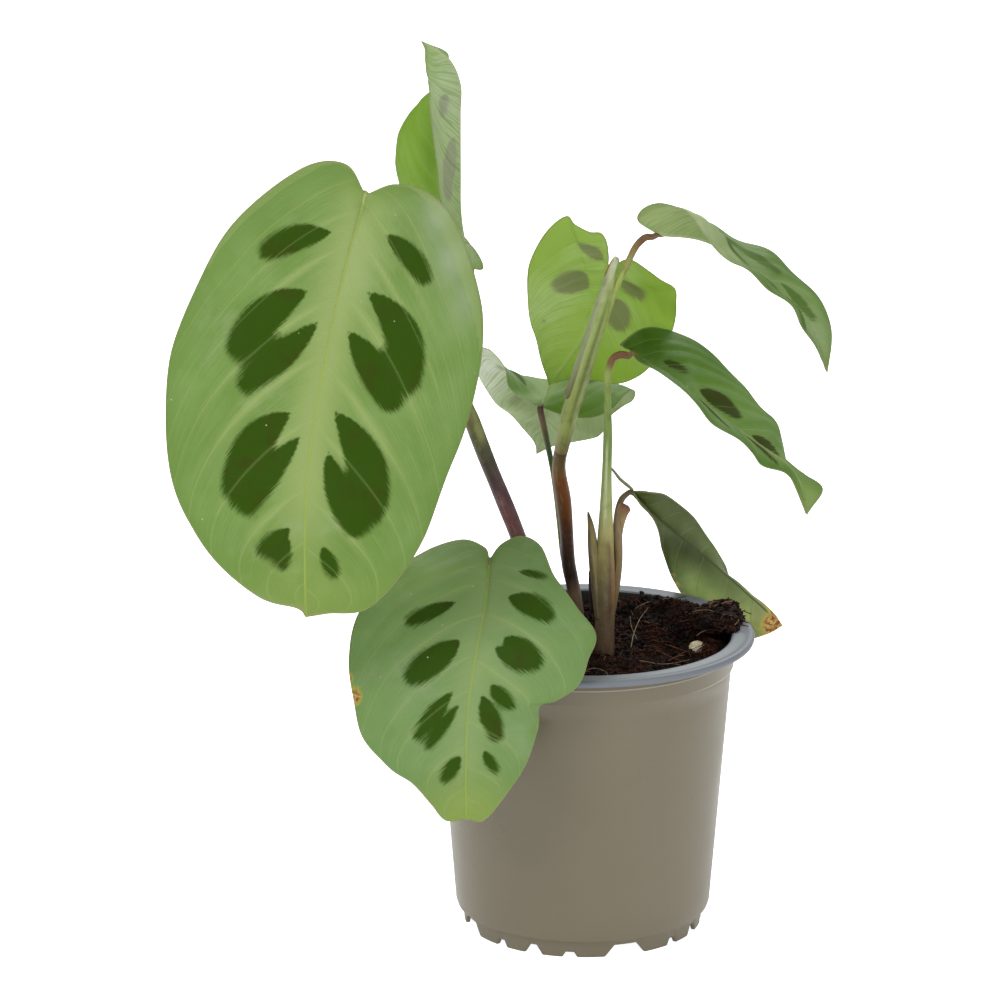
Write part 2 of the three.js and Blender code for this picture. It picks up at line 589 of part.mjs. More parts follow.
addNode("pot", geometryOf(potSolid()), "pot", 0.45);
addNode("soil", geometryOf(soil), "soil", 0.95);
addNode("soil_clump", geometryOf(clumpSolid(soilBody())), "soil", 0.95);
addNode("perlite_bead", geometryOf(beadSolid(0)), "bead", 0.8);
STEM_PIECES.forEach((piece) => {
  const geometry = stemGeometry(ROUTES[piece.route], piece.from, piece.to, 0);
  addNode(piece.name, geometry, piece.colour, 0.6);
});
Object.entries(LEAVES).forEach(([name, leaf]) => {
  const colour = name === "leaf_3" || name === "leaf_4" ? "youngLeaf" : "leaf";
  addNode(name, bladeGeometry(preparedLeaf(leaf)), colour, 0.5);
});

export default plant;
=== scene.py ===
"""Potted prayer plant: eight blotched leaves on three shoots in a tapered nursery pot.

Sizes are millimetres about the pot's axis, which stands at POT_AXIS in the frame. The meshes
are written in metres in the frame itself. A leaf's right side is the one its sideways
direction points to, and its left side the other.
"""

import logging
import math
from collections.abc import Callable, Iterator
from dataclasses import dataclass, field, replace
from enum import Enum

import bmesh
import bpy
import numpy as np
from bpy.types import Material, Mesh, Node, NodeOutputs, NodeSocket, NodeTree, Object
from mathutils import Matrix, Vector, noise


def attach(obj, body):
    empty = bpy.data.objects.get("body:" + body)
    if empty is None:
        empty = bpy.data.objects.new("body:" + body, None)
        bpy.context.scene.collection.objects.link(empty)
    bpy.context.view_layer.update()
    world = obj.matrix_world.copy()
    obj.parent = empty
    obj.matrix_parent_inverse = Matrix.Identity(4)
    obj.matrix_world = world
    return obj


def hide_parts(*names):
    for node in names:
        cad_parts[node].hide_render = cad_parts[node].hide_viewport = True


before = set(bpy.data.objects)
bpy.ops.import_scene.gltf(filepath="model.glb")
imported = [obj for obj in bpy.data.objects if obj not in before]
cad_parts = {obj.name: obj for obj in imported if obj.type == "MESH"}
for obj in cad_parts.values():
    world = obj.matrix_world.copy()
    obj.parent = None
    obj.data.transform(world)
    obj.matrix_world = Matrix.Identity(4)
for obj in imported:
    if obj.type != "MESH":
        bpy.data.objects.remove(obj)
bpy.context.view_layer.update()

LOG = logging.getLogger("prayer_plant")
MM = 0.001
POT_AXIS = np.array([27.28, 1.5, 0.0])
BODY = "root"
FULL_TURN = 6.283
SOIL_LEVEL = 97.6
SOIL_SIDES = 240
ARC_SAMPLES = 1601
BLOTCH_STEPS = 15
OUTSIDE = -9.0
RIGHT_WAVE_SHIFT = 0.37
VEIN_SHARES = np.array([-0.25, -0.08, 0.03, 0.13, 0.25, 0.39, 0.54, 0.69, 0.83, 0.95, 1.1])

Rows = np.ndarray
Pair = tuple[float, float]
Triple = tuple[float, float, float]
Stops = list[tuple[float, int]]
Points = list[tuple[float, ...]]


# ---- Small helpers ----


def colour(code: int) -> tuple[float, float, float, float]:
    """Linear colour of a screen colour.

    Args:
        code: The screen colour as 0xRRGGBB.

    Returns:
        Red, green, blue and alpha, linear.
    """
    screen = [((code >> shift) & 255) / 255 for shift in (16, 8, 0)]
    linear = [c / 12.92 if c <= 0.04045 else ((c + 0.055) / 1.055) ** 2.4 for c in screen]
    return (linear[0], linear[1], linear[2], 1.0)


def smooth_step(low: float, high: float, value: Rows) -> Rows:
    """Eased rise from 0 at low to 1 at high."""
    share = np.clip((value - low) / (high - low), 0, 1)
    return share * share * (3 - 2 * share)


def along_points(points: Rows, share: Rows) -> Rows:
    """Smooth curve through evenly spaced points.

    Args:
        points: One row for each point.
        share: Shares of the whole, from 0 at the first point to 1 at the last.

    Returns:
        One row for each share.
    """
    last = len(points) - 1
    place = np.clip(share, 0, 1) * last
    index = np.minimum(place.astype(int), last - 1)
    rest = (place - index)[..., None]
    padded = np.vstack([2 * points[0] - points[1], points, 2 * points[-1] - points[-2]])
    before, here, ahead, after = (padded[index + step] for step in range(4))
    slope_in = (ahead - before) / 2
    slope_out = (after - here) / 2
    rise = ahead - here
    return (here + slope_in * rest + (3 * rise - 2 * slope_in - slope_out) * rest**2
            + (slope_in + slope_out - 2 * rise) * rest**3)


def blend_stops(stops: Stops, share: Rows) -> Rows:
    """Colours between stops.

    Args:
        stops: Share and screen colour pairs in rising order.
        share: Where to read the colours.

    Returns:
        One linear colour row for each share.
    """
    places = [place for place, _ in stops]
    colours = np.array([colour(code) for _, code in stops])
    return np.stack([np.interp(share, places, colours[:, k]) for k in range(4)], -1)


def unit(rows: Rows) -> Rows:
    """Rows scaled to length one."""
    return rows / np.maximum(np.linalg.norm(rows, axis=-1, keepdims=True), 1e-9)


def link_new(name: str, data: bpy.types.ID) -> Object:
    """New object with the data given, linked to the scene.

    Args:
        name: The object's name.
        data: A mesh, lamp or camera.

    Returns:
        The object.
    """
    piece = bpy.data.objects.new(name, data)
    bpy.context.scene.collection.objects.link(piece)
    return piece


def link_smooth(name: str, mesh: Mesh) -> Object:
    """New object from a mesh, shaded smooth."""
    mesh.polygons.foreach_set("use_smooth", [True] * len(mesh.polygons))
    return link_new(name, mesh)


def make_mesh(name: str, points: Rows, faces: list, edges: list | None = None) -> Object:
    """New mesh object from points about the pot's axis.

    Args:
        name: The object's name.
        points: Rows of x, y, z in millimetres.
        faces: Corner indices of each face.
        edges: Pairs of points joined by loose edges.

    Returns:
        The object, linked to the scene.
    """
    mesh = bpy.data.meshes.new(name)
    mesh.from_pydata(((points + POT_AXIS) * MM).tolist(), edges or [], faces)
    mesh.update()
    return link_smooth(name, mesh)


def write_attribute(piece: Object, name: str, kind: str, rows: Rows) -> None:
    """Stores one value for each point of a mesh.

    Args:
        piece: The mesh object.
        name: The attribute's name.
        kind: FLOAT, FLOAT_VECTOR or FLOAT_COLOR.
        rows: The values.
    """
    attribute = piece.data.attributes.new(name, kind, "POINT")
    field_name = {"FLOAT": "value", "FLOAT_VECTOR": "vector", "FLOAT_COLOR": "color"}[kind]
    attribute.data.foreach_set(field_name, rows.ravel())


def adopt(piece: Object, slot: str, *nodes: str) -> Object:
    """Ties a finished piece to the frame.

    Args:
        piece: The finished mesh object.
        slot: The record's material slot; it is not used.
        nodes: The solids that the piece stands for.

    Returns:
        The same piece.
    """
    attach(piece, BODY)
    if nodes:
        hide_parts(*nodes)
    LOG.info("%s: %d faces", piece.name, len(piece.data.polygons))
    return piece


# ---- Node trees ----


class Wiring:
    """Shorthand for adding and joining the nodes of one tree."""

    def __init__(self, tree: NodeTree) -> None:
        """Keeps the tree."""
        self.tree = tree

    def feed(self, socket: NodeSocket, value: object) -> None:
        """Joins a socket to the socket given, or sets it to the value given."""
        if isinstance(value, NodeSocket):
            self.tree.links.new(value, socket)
        elif value is not None:
            socket.default_value = value

    def add(self, kind: str, feeds: dict | None = None, **settings: object) -> Node:
        """New node with its settings made and its inputs fed by name or number.

        Args:
            kind: The node's type.
            feeds: Sockets or values by input.
            settings: Properties by name.

        Returns:
            The node.
        """
        node = self.tree.nodes.new(kind)
        for name, value in settings.items():
            setattr(node, name, value)
        for name, value in (feeds or {}).items():
            self.feed(node.inputs[name], value)
        return node

    def math(self, operation: str, first: object, second: object = None,
             third: object = None, clamp: bool = False) -> NodeSocket:
        """Result of a Math node."""
        return self.add("ShaderNodeMath", {0: first, 1: second, 2: third}, operation=operation,
                        use_clamp=clamp).outputs[0]

    def times(self, first: object, second: object, plus: object = None) -> NodeSocket:
        """Product of two values, plus a third where one is given."""
        operation = "MULTIPLY" if plus is None else "MULTIPLY_ADD"
        return self.math(operation, first, second, plus)

    def mix(self, share: object, first: object, second: object, blend: str = "MIX") -> NodeSocket:
        """Colour between two colours, each a socket, a screen colour or four linear values."""
        first, second = (colour(c) if isinstance(c, int) else c for c in (first, second))
        return self.add("ShaderNodeMix", {0: share, 6: first, 7: second}, data_type="RGBA",
                        blend_type=blend).outputs[2]

    def over(self, skin: object, mask: object, share: float, tone: object) -> NodeSocket:
        """The skin with a tone laid over it where the mask is, at a share of its strength."""
        return self.mix(self.times(mask, share), skin, tone)

    def rise(self, value: object, low: object, high: object, start: object = 0.0,
             end: object = 1.0) -> NodeSocket:
        """Eased change from start, at low, to end, at high."""
        return self.add("ShaderNodeMapRange", dict(enumerate((value, low, high, start, end))),
                        interpolation_type="SMOOTHSTEP").outputs[0]

    def noise(self, vector: object, scale: object, detail: float = 2.0,
              roughness: float = 0.5, distortion: float = 0.0) -> NodeSocket:
        """Value of a Noise texture."""
        return self.add("ShaderNodeTexNoise", {
            "Vector": vector, "Scale": scale, "Detail": detail, "Roughness": roughness,
            "Distortion": distortion}).outputs[0]

    def dots(self, vector: object, scale: object, low: float, high: float, rule: str,
             limit: object) -> NodeSocket:
        """Round specks, kept in the cells whose random number passes the limit.

        Args:
            vector: Where to read.
            scale: Cells to the metre.
            low: Distance at which a speck begins to fade.
            high: Distance at which it ends.
            rule: How the random number is compared.
            limit: What it is compared with.

        Returns:
            The mask.
        """
        cells = self.add("ShaderNodeTexVoronoi", {"Vector": vector, "Scale": scale}).outputs
        chosen = self.math(rule, self.parts(cells["Color"])[0], limit)
        return self.times(self.rise(cells["Distance"], low, high, 1.0, 0.0), chosen)

    def parts(self, vector: object) -> list[NodeSocket]:
        """X, Y and Z of a vector."""
        return list(self.add("ShaderNodeSeparateXYZ", {0: vector}).outputs)

    def vector(self, x: object, y: object, z: object = 0.0) -> NodeSocket:
        """Vector of three values."""
        return self.add("ShaderNodeCombineXYZ", {0: x, 1: y, 2: z}).outputs[0]

    def attribute(self, name: str, output: str = "Vector") -> NodeSocket:
        """Reads a mesh attribute."""
        return self.add("ShaderNodeAttribute", attribute_name=name).outputs[output]

    def place(self) -> NodeSocket:
        """Object coordinates, in metres."""
        return self.add("ShaderNodeTexCoord").outputs["Object"]

    def coat(self, shader: Node, base: object, roughness: object, specular: object,
             height: object, strength: float, distance: float = 0.0004) -> None:
        """Feeds the base colour, roughness, specular level and bump of a Principled BSDF."""
        bump = self.add("ShaderNodeBump", {"Strength": strength, "Distance": distance,
                                           "Height": height})
        for name, value in (("Base Color", base), ("Roughness", roughness),
                            ("Specular IOR Level", specular), ("Normal", bump.outputs[0])):
            self.feed(shader.inputs[name], value)


def new_group(name: str, kind: str, takes: dict[str, str | float | int],
              gives: dict[str, str]) -> tuple[NodeTree, Wiring, NodeOutputs]:
    """New node group with named inputs and outputs.

    Args:
        name: The group's name.
        kind: ShaderNodeTree or GeometryNodeTree.
        takes: Default of each input, or its type where it has no default, by name.
        gives: Type of each output, by name.

    Returns:
        The group, its wiring and the sockets that carry its inputs.
    """
    tree = bpy.data.node_groups.new(name, kind)
    for label, given in takes.items():
        form = {int: "Int", float: "Float"}.get(type(given), given)
        socket = tree.interface.new_socket(label, in_out="INPUT", socket_type=f"NodeSocket{form}")
        if form != given:
            socket.default_value = given
    for label, form in gives.items():
        tree.interface.new_socket(label, in_out="OUTPUT", socket_type=f"NodeSocket{form}")
    wiring = Wiring(tree)
    return tree, wiring, wiring.add("NodeGroupInput").outputs


def new_material(name: str) -> tuple[Material, Wiring, Node]:
    """New material with a Principled BSDF on its output.

    Args:
        name: The material's name.

    Returns:
        The material, its wiring and its Principled BSDF.
    """
    material = bpy.data.materials.new(name)
    material.use_nodes = True
    wiring = Wiring(material.node_tree)
    return material, wiring, material.node_tree.nodes["Principled BSDF"]


# ---- Shared shader groups ----


class SharedGroups:
    """Node groups that several finishes use, built once."""

    def __init__(self) -> None:
        """Builds both groups."""
        self.blade = self._blade_marks()
        self.grain = self._grain()

    def mottle(self, w: Wiring, coarse: float, fine: float, speck_share: float) -> NodeOutputs:
        """Coarse, fine and speck masks in a material, at the scales given."""
        return w.add("ShaderNodeGroup", {"Vector": w.place(), "Coarse": coarse, "Fine": fine,
                                         "Speck Share": speck_share}, node_tree=self.grain).outputs

    @staticmethod
    def _blade_marks() -> NodeTree:
        """Blotch, vein, margin and speck masks of a blade from its attributes, in millimetres."""
        names = ("Blotch", "Fine", "Lateral", "Midrib", "Margin", "Speck", "Streak", "Height")
        tree, w, given = new_group("blade_marks", "ShaderNodeTree", {
            "Veins": "Vector", "Marks": "Vector", "Place": "Vector",
            "Feather": 1.6, "Vein Pitch": 0.9, "Rib Width": 0.6},
            dict.fromkeys(names, "Float"))
        out, lead, phase = w.parts(given["Veins"])
        inside, feather, margin = w.parts(given["Marks"])
        streaks = w.noise(w.vector(w.times(out, 0.10), w.times(lead, 1.4)), 1.0, 2.0, 0.6)
        fringe = w.math("SUBTRACT", streaks, 0.5)
        reach = w.times(w.times(feather, 2.0, 0.25), given["Feather"])
        crumble = w.math("SUBTRACT", w.noise(given["Place"], 900.0, 3.0, 0.6), 0.5)
        edge = w.times(fringe, reach, inside)
        edge = w.times(crumble, 0.9, edge)
        soft = w.times(feather, 0.9, 0.35)
        blotch = w.rise(edge, w.times(soft, -1.0), soft)
        lateral = w.rise(w.math("PINGPONG", phase, 0.5), 0.0, 0.05, 1.0, 0.0)
        weave = w.noise(w.vector(w.times(out, 0.05), w.times(lead, 0.3)), 1.0)
        run = w.times(weave, 3.0, w.math("DIVIDE", lead, given["Vein Pitch"]))
        fine = w.times(w.math("SINE", w.times(run, FULL_TURN)), 0.5, 0.5)
        midrib = w.rise(w.math("ABSOLUTE", out), w.times(given["Rib Width"], 0.4),
                        given["Rib Width"], 1.0, 0.0)
        edge_line = w.rise(margin, 0.15, 0.55, 1.0, 0.0)
        speck = w.dots(given["Place"], 190.0, 0.035, 0.065, "GREATER_THAN", 0.80)
        height = w.times(fine, 0.10, w.times(lateral, -0.35))
        height = w.times(midrib, -0.6, height)
        height = w.times(streaks, 0.35, height)
        values = (blotch, fine, lateral, midrib, edge_line, speck, streaks, height)
        w.add("NodeGroupOutput", dict(zip(names, values)))
        return tree

    @staticmethod
    def _grain() -> NodeTree:
        """Mottled variation: a coarse mask, a fine mask and sparse specks."""
        tree, w, given = new_group("mottle", "ShaderNodeTree", {
            "Vector": "Vector", "Coarse": 30.0, "Fine": 600.0,
            "Speck Share": 0.1}, dict.fromkeys(("Coarse", "Fine", "Specks"), "Float"))
        w.add("NodeGroupOutput", {
            "Coarse": w.noise(given["Vector"], given["Coarse"], 4.0),
            "Fine": w.noise(given["Vector"], given["Fine"], 3.0),
            "Specks": w.dots(given["Vector"], w.times(given["Fine"], 0.5), 0.1, 0.3, "LESS_THAN",
                             given["Speck Share"])})
        return tree


# ---- Finishes ----


@dataclass(frozen=True)
class BladeFinish:
    """Look of one kind of leaf: its upper side and its underside. Most kinds follow how old the
    leaf is; the shaded kind is darker, as painted shade.
    """

    name: str
    green: int
    deep: int
    pale: int
    blotch: int
    blotch_core: int
    rib: int
    under: int
    under_deep: int
    under_blotch: int
    glow: int
    translucency: float = 0.25
    feather: float = 1.9
    gloss: float = 0.48
    stain_and_sheen: float = 0.22
    core_blend: float = 0.97
    under_blend: float = 0.72

    def upper(self, groups: SharedGroups) -> Material:
        """Upper side: green with pale vein bands, feathered blotches and dry patches.

        Args:
            groups: The node groups that finishes share.

        Returns:
            The new material.
        """
        material, w, shader = new_material(f"{self.name}_upper")
        masks = self._masks(w, groups, 0.55, 0.9)
        pale, dry, yellow = w.parts(w.attribute("state"))
        patch = w.noise(w.place(), 45.0, 3.0, 0.6)
        skin = w.mix(w.rise(patch, 0.3, 0.7), self.green, self.deep)
        skin = w.mix(w.rise(masks["Streak"], 0.35, 0.8, 0.0, 0.38), skin, self.pale)
        skin = w.mix(w.rise(masks["Streak"], 0.5, 0.2, 0.0, 0.3), skin, self.deep)
        skin = w.mix(pale, skin, self.pale)
        inward = w.parts(w.attribute("marks"))[2]
        skin = w.mix(w.rise(inward, 0.5, 6.0, 0.6, 0.0), skin, self.deep)
        skin = w.over(self._washed(w, skin), masks["Fine"], 0.08, self.deep)
        skin = w.over(skin, masks["Lateral"], 0.34, self.pale)
        # Whitish patches over the skin: partly water stain, partly painted sheen.
        stain_and_sheen = w.rise(w.noise(w.place(), 34.0, 4.0, 0.65, 0.4), 0.54, 0.74, 0.0, self.stain_and_sheen)
        skin = w.over(w.mix(stain_and_sheen, skin, 0xB8C49E), yellow, 0.75, self.rib)
        core = w.noise(w.place(), 75.0, 3.0, 0.6)
        dark = w.mix(w.rise(core, 0.48, 0.72, 0.0, 0.55), self.blotch, self.blotch_core)
        dark = w.over(dark, masks["Lateral"], 0.28, self.green)
        for mask, share, tone in (("Blotch", self.core_blend, dark), ("Midrib", 0.7, self.rib),
                                  ("Margin", 0.55, 0xA9A878), ("Speck", 0.8, 0xD5DDC8)):
            skin = w.over(skin, masks[mask], share, tone)
        rough = w.rise(patch, 0.2, 0.8, self.gloss - 0.05, self.gloss + 0.09)
        w.coat(shader, self._withered(w, skin, dry), w.times(dry, 0.3, rough),
               w.times(masks["Blotch"], -0.16, 0.22), masks["Height"], 0.55)
        self._let_light_through(w, material, shader, masks["Blotch"], self.blotch)
        return material

    def underside(self, groups: SharedGroups) -> Material:
        """Underside: paler, with fine arcs and the blotches showing through.

        Args:
            groups: The node groups that finishes share.

        Returns:
            The new material.
        """
        material, w, shader = new_material(f"{self.name}_underside")
        masks = self._masks(w, groups, 0.9, 2.3)
        _, dry, yellow = w.parts(w.attribute("state"))
        patch = w.noise(w.place(), 38.0, 3.0, 0.6)
        skin = self._washed(w, w.mix(w.rise(patch, 0.3, 0.7), self.under, self.under_deep))
        skin = w.mix(w.rise(masks["Fine"], 0.62, 0.98, 0.0, 0.55), skin, self.under_deep)
        skin = w.over(skin, masks["Lateral"], 0.6, self.under_deep)
        skin = w.over(skin, masks["Blotch"], self.under_blend, self.under_blotch)
        skin = w.over(skin, yellow, 0.5, self.rib)
        skin = w.over(skin, masks["Midrib"], 0.6, 0xC9CFA0)
        skin = w.over(skin, masks["Margin"], 0.5, 0x8F8A6A)
        w.coat(shader, self._withered(w, skin, dry), w.rise(patch, 0.2, 0.8, 0.5, 0.62), 0.3,
               w.times(masks["Height"], -1.0), 0.5)
        self._let_light_through(w, material, shader, masks["Blotch"], self.under_blotch)
        return material

    def _masks(self, w: Wiring, groups: SharedGroups, rib_width: float,
               pitch: float) -> NodeOutputs:
        """The blade masks."""
        return w.add("ShaderNodeGroup", {
            "Veins": w.attribute("veins"), "Marks": w.attribute("marks"), "Place": w.place(),
            "Feather": self.feather, "Rib Width": rib_width, "Vein Pitch": pitch},
            node_tree=groups.blade).outputs

    def _washed(self, w: Wiring, skin: NodeSocket) -> NodeSocket:
        """Patches of tone over the skin, broken up a little: some are the blade's own colour, some
        painted light and shade.

        Args:
            w: The tree's wiring.
            skin: The colour so far.

        Returns:
            The new colour.
        """
        broken = w.rise(w.noise(w.place(), 120.0, 3.0, 0.6), 0.3, 0.7, 0.75, 1.1)
        share = w.math("MULTIPLY", w.attribute("wash", "Alpha"), broken, clamp=True)
        return w.mix(share, skin, w.attribute("wash", "Color"))

    def _withered(self, w: Wiring, skin: NodeSocket, dry: NodeSocket) -> NodeSocket:
        """Dry patches over the skin: yellow rim, then tan and rust brown.

        Args:
            w: The tree's wiring.
            skin: The colour so far.
            dry: How dry the blade is.

        Returns:
            The new colour.
        """
        torn = w.times(w.noise(w.place(), 420.0, 4.0, 0.65), 0.7, -0.35)
        ragged = w.math("ADD", dry, torn)
        skin = w.mix(w.rise(ragged, 0.18, 0.42), skin, 0xB3AE52)
        tan = w.mix(w.rise(w.noise(w.place(), 700.0, 4.0, 0.7), 0.4, 0.6), 0xD6B670, 0x8E5022)
        return w.mix(w.rise(ragged, 0.42, 0.6), skin, tan)

    def _let_light_through(self, w: Wiring, material: Material, shader: Node,
                           blotch: NodeSocket, dark: int) -> None:
        """Mixes in the light that comes through the blade from behind.

        Args:
            w: The tree's wiring.
            material: The blade's material.
            shader: Its Principled BSDF.
            blotch: The blotch mask.
            dark: Screen colour of light through a blotch.
        """
        glow = w.add("ShaderNodeBsdfTranslucent", {"Color": w.mix(blotch, self.glow, dark)})
        both = w.add("ShaderNodeMixShader", {0: self.translucency, 1: shader.outputs[0],
                                             2: glow.outputs[0]})
        w.feed(material.node_tree.nodes["Material Output"].inputs["Surface"], both.outputs[0])


class LeafKind(Enum):
    """Finishes of the leaves, some by how old they are and one darker as painted shade."""

    MATURE = BladeFinish("mature_leaf", green=0x84A45A, deep=0x749646, pale=0xA9BC74,
                         blotch=0x365608, blotch_core=0x423C10, rib=0xA9BC5A, under=0xA3B48C,
                         under_deep=0x83985F, under_blotch=0x6F7A55, glow=0x8FB83C)
    # SHADED is painted shade: darker colours for the lower right leaf, which lies under another;
    # ARCHED is a copy with its own upper colours.
    SHADED = BladeFinish("shaded_leaf", green=0x70943E, deep=0x547C2A, pale=0x8CA85E,
                         blotch=0x3E4A1A, blotch_core=0x4A3A18, rib=0xA4B270, under=0xB4C68C,
                         under_deep=0x96AE68, under_blotch=0x86A04E, glow=0x86AC38,
                         under_blend=0.6)
    ARCHED = replace(SHADED, name="arched_leaf", green=0x74963F, deep=0x587E2C, pale=0x94AE68,
                     blotch=0x57762C, blotch_core=0x4A5224, core_blend=0.85)
    YOUNG = BladeFinish("young_leaf", green=0x98BA42, deep=0x80A82A, pale=0xA6C25E,
                        blotch=0x7E8C52, blotch_core=0x868A62, rib=0xAFC65A, under=0xA6B98A,
                        under_deep=0x8AA35E, under_blotch=0x8E8A80, glow=0x9CC838,
                        translucency=0.34, core_blend=0.55, under_blend=0.38)
    BACKLIT = BladeFinish("backlit_leaf", green=0x86AC48, deep=0x739C34, pale=0x97B65C,
                          blotch=0x5C7A26, blotch_core=0x5A6E22, rib=0xA0BC4C, under=0xC2D692,
                          under_deep=0xA2BE58, under_blotch=0x9A9670, glow=0xC4E066,
                          translucency=0.45, under_blend=0.48)
    PALE = BladeFinish("cupped_leaf", green=0x7CA048, deep=0x688E34, pale=0x94B060,
                       blotch=0x4A6A22, blotch_core=0x4A5A20, rib=0x9FB46A, under=0xD0DEB2,
                       under_deep=0xA8BE7C, under_blotch=0x9CAC76, glow=0x9CC24A)
    FOLDED = BladeFinish("folded_leaf", green=0x5E6E2E, deep=0x485622, pale=0x7A8C4C,
                         blotch=0x3A4218, blotch_core=0x40381A, rib=0x3E4A1A, under=0x848E5C,
                         under_deep=0x68743E, under_blotch=0x5E6438, glow=0x687C2C,
                         translucency=0.15, stain_and_sheen=0.12)


@dataclass(frozen=True)
class NurseryPlastic:
    """Thin moulded plastic with faint flow marks, scuffs and dust.

    Each of its painted highlights has a height, and a place left of which it fades.
    """

    name: str
    base: int
    light: int
    roughness: float
    highlights: tuple[Pair, ...] = ()

    def material(self, groups: SharedGroups) -> Material:
        """Plastic with a mottled tone, small scratches and pale painted highlights.

        Args:
            groups: The node groups that finishes share.

        Returns:
            The new material.
        """
        material, w, shader = new_material(self.name)
        mottle = groups.mottle(w, 26.0, 900.0, 0.004)
        tone = w.mix(w.rise(mottle["Coarse"], 0.35, 0.7, 0.0, 0.35), self.base, self.light)
        x, y, z = w.parts(w.place())
        stretched = w.vector(w.times(x, 60.0), w.times(y, 60.0), w.times(z, 900.0))
        scuff = w.noise(stretched, 1.0, 3.0, 0.7, 0.6)
        scuffed = w.times(w.rise(scuff, 0.62, 0.75), w.rise(mottle["Coarse"], 0.5, 0.7))
        tone = w.over(tone, scuffed, 0.35, self.light)
        tone = w.over(tone, mottle["Specks"], 0.25, 0x57503F)
        # The worn mask is a painted highlight: a pale band round the wall at one height, fading out
        # towards the left.
        for height, start in self.highlights:
            off = w.math("ABSOLUTE", w.math("SUBTRACT", z, height * MM))
            worn = w.rise(off, 0.12 * MM, 0.34 * MM, 0.55, 0.0)
            right = w.rise(x, (POT_AXIS[0] + start) * MM, (POT_AXIS[0] + start + 12.0) * MM)
            tone = w.mix(w.times(worn, right), tone, 0xB9B3A6)
        rough = w.rise(mottle["Coarse"], 0.3, 0.7, self.roughness - 0.04, self.roughness + 0.07)
        w.coat(shader, tone, w.times(scuffed, 0.15, rough), 0.5,
               w.times(mottle["Fine"], 0.25, w.times(scuff, 0.4)), 0.12)
        return material


@dataclass(frozen=True)
class StemSkin:
    """Skin of a stem or a sheath: its own tint with streaks along it."""

    name: str
    roughness: float
    streak: float

    def material(self, groups: SharedGroups) -> Material:
        """Streaked skin in the colours that the piece carries.

        Args:
            groups: The node groups that finishes share.

        Returns:
            The new material.
        """
        material, w, shader = new_material(self.name)
        around, along, _ = w.parts(w.attribute("run"))
        streaks = w.noise(w.vector(w.times(around, 5.0), w.times(along, 0.10)), 1.0, 4.0, 0.65)
        mottle = groups.mottle(w, 160.0, 1500.0, 0.12)
        tint = w.attribute("tint", "Color")
        darker = w.mix(1.0, tint, (0.30, 0.24, 0.22, 1.0), "MULTIPLY")
        lighter = w.mix(0.45, tint, (0.62, 0.58, 0.40, 1.0))
        skin = w.mix(w.rise(streaks, 0.50, 0.74, 0.0, self.streak), tint, darker)
        skin = w.mix(w.rise(streaks, 0.46, 0.28, 0.0, self.streak * 0.8), skin, lighter)
        skin = w.mix(w.rise(mottle["Coarse"], 0.52, 0.72, 0.0, 0.35), skin, darker)
        skin = w.over(skin, mottle["Specks"], 0.3, lighter)
        rough = w.rise(mottle["Coarse"], 0.3, 0.7, self.roughness - 0.06, self.roughness + 0.1)
        w.coat(shader, skin, rough, 0.4, w.times(mottle["Fine"], 0.3, streaks), 0.5)
        return material


@dataclass(frozen=True)
class SoilFinish:
    """Crumbs, fibres or the bed of the potting mix."""

    name: str
    dark: int
    warm: int
    light: int
    roughness: float = 0.85

    def material(self, groups: SharedGroups) -> Material:
        """Dark fibrous mix with warmer and paler bits.

        Args:
            groups: The node groups that finishes share.

        Returns:
            The new material.
        """
        material, w, shader = new_material(self.name)
        mottle = groups.mottle(w, 120.0, 1100.0, 0.16)
        tone = w.mix(w.rise(mottle["Coarse"], 0.38, 0.66), self.dark, self.warm)
        tone = w.mix(w.rise(mottle["Fine"], 0.5, 0.75, 0.0, 0.6), tone, self.dark)
        tone = w.over(tone, mottle["Specks"], 0.55, self.light)
        rough = w.rise(mottle["Fine"], 0.3, 0.7, self.roughness - 0.2, self.roughness + 0.1)
        w.coat(shader, tone, rough, 0.16, mottle["Fine"], 0.9, 0.0012)
        return material


@dataclass(frozen=True)
class BeadFinish:
    """Chalky cream of the perlite bead."""

    name: str = "perlite_cream"

    def material(self, groups: SharedGroups) -> Material:
        """Cream with brown stains and fine pits.

        Args:
            groups: The node groups that finishes share.

        Returns:
            The new material.
        """
        material, w, shader = new_material(self.name)
        mottle = groups.mottle(w, 420.0, 2400.0, 0.2)
        tone = w.mix(w.rise(mottle["Coarse"], 0.45, 0.7), 0xEFE3C8, 0xD3BE94)
        tone = w.over(tone, mottle["Specks"], 0.5, 0x8B6B45)
        rough = w.rise(mottle["Fine"], 0.3, 0.7, 0.65, 0.9)
        w.coat(shader, tone, rough, None, mottle["Fine"], 0.7, 0.0005)
        return material


# ---- Leaves ----


@dataclass(frozen=True)
class Blotch:
    """One dark lobe between two veins: side, tip and end (along, out), width and bend."""

    side: int
    tip: Pair
    end: Pair
    width: float
    bend: float = 0.0


@dataclass(frozen=True)
class Scorch:
    """A dry or discoloured patch: side, place (along, out) and radius."""

    side: int
    place: Pair
    radius: float


@dataclass(frozen=True)
class Wash:
    """A soft patch of tone, on some leaves painted light and shade: place (along, out; out is
    negative at the left) and its radii.
    """

    place: Pair
    radii: Pair
    code: int
    strength: float


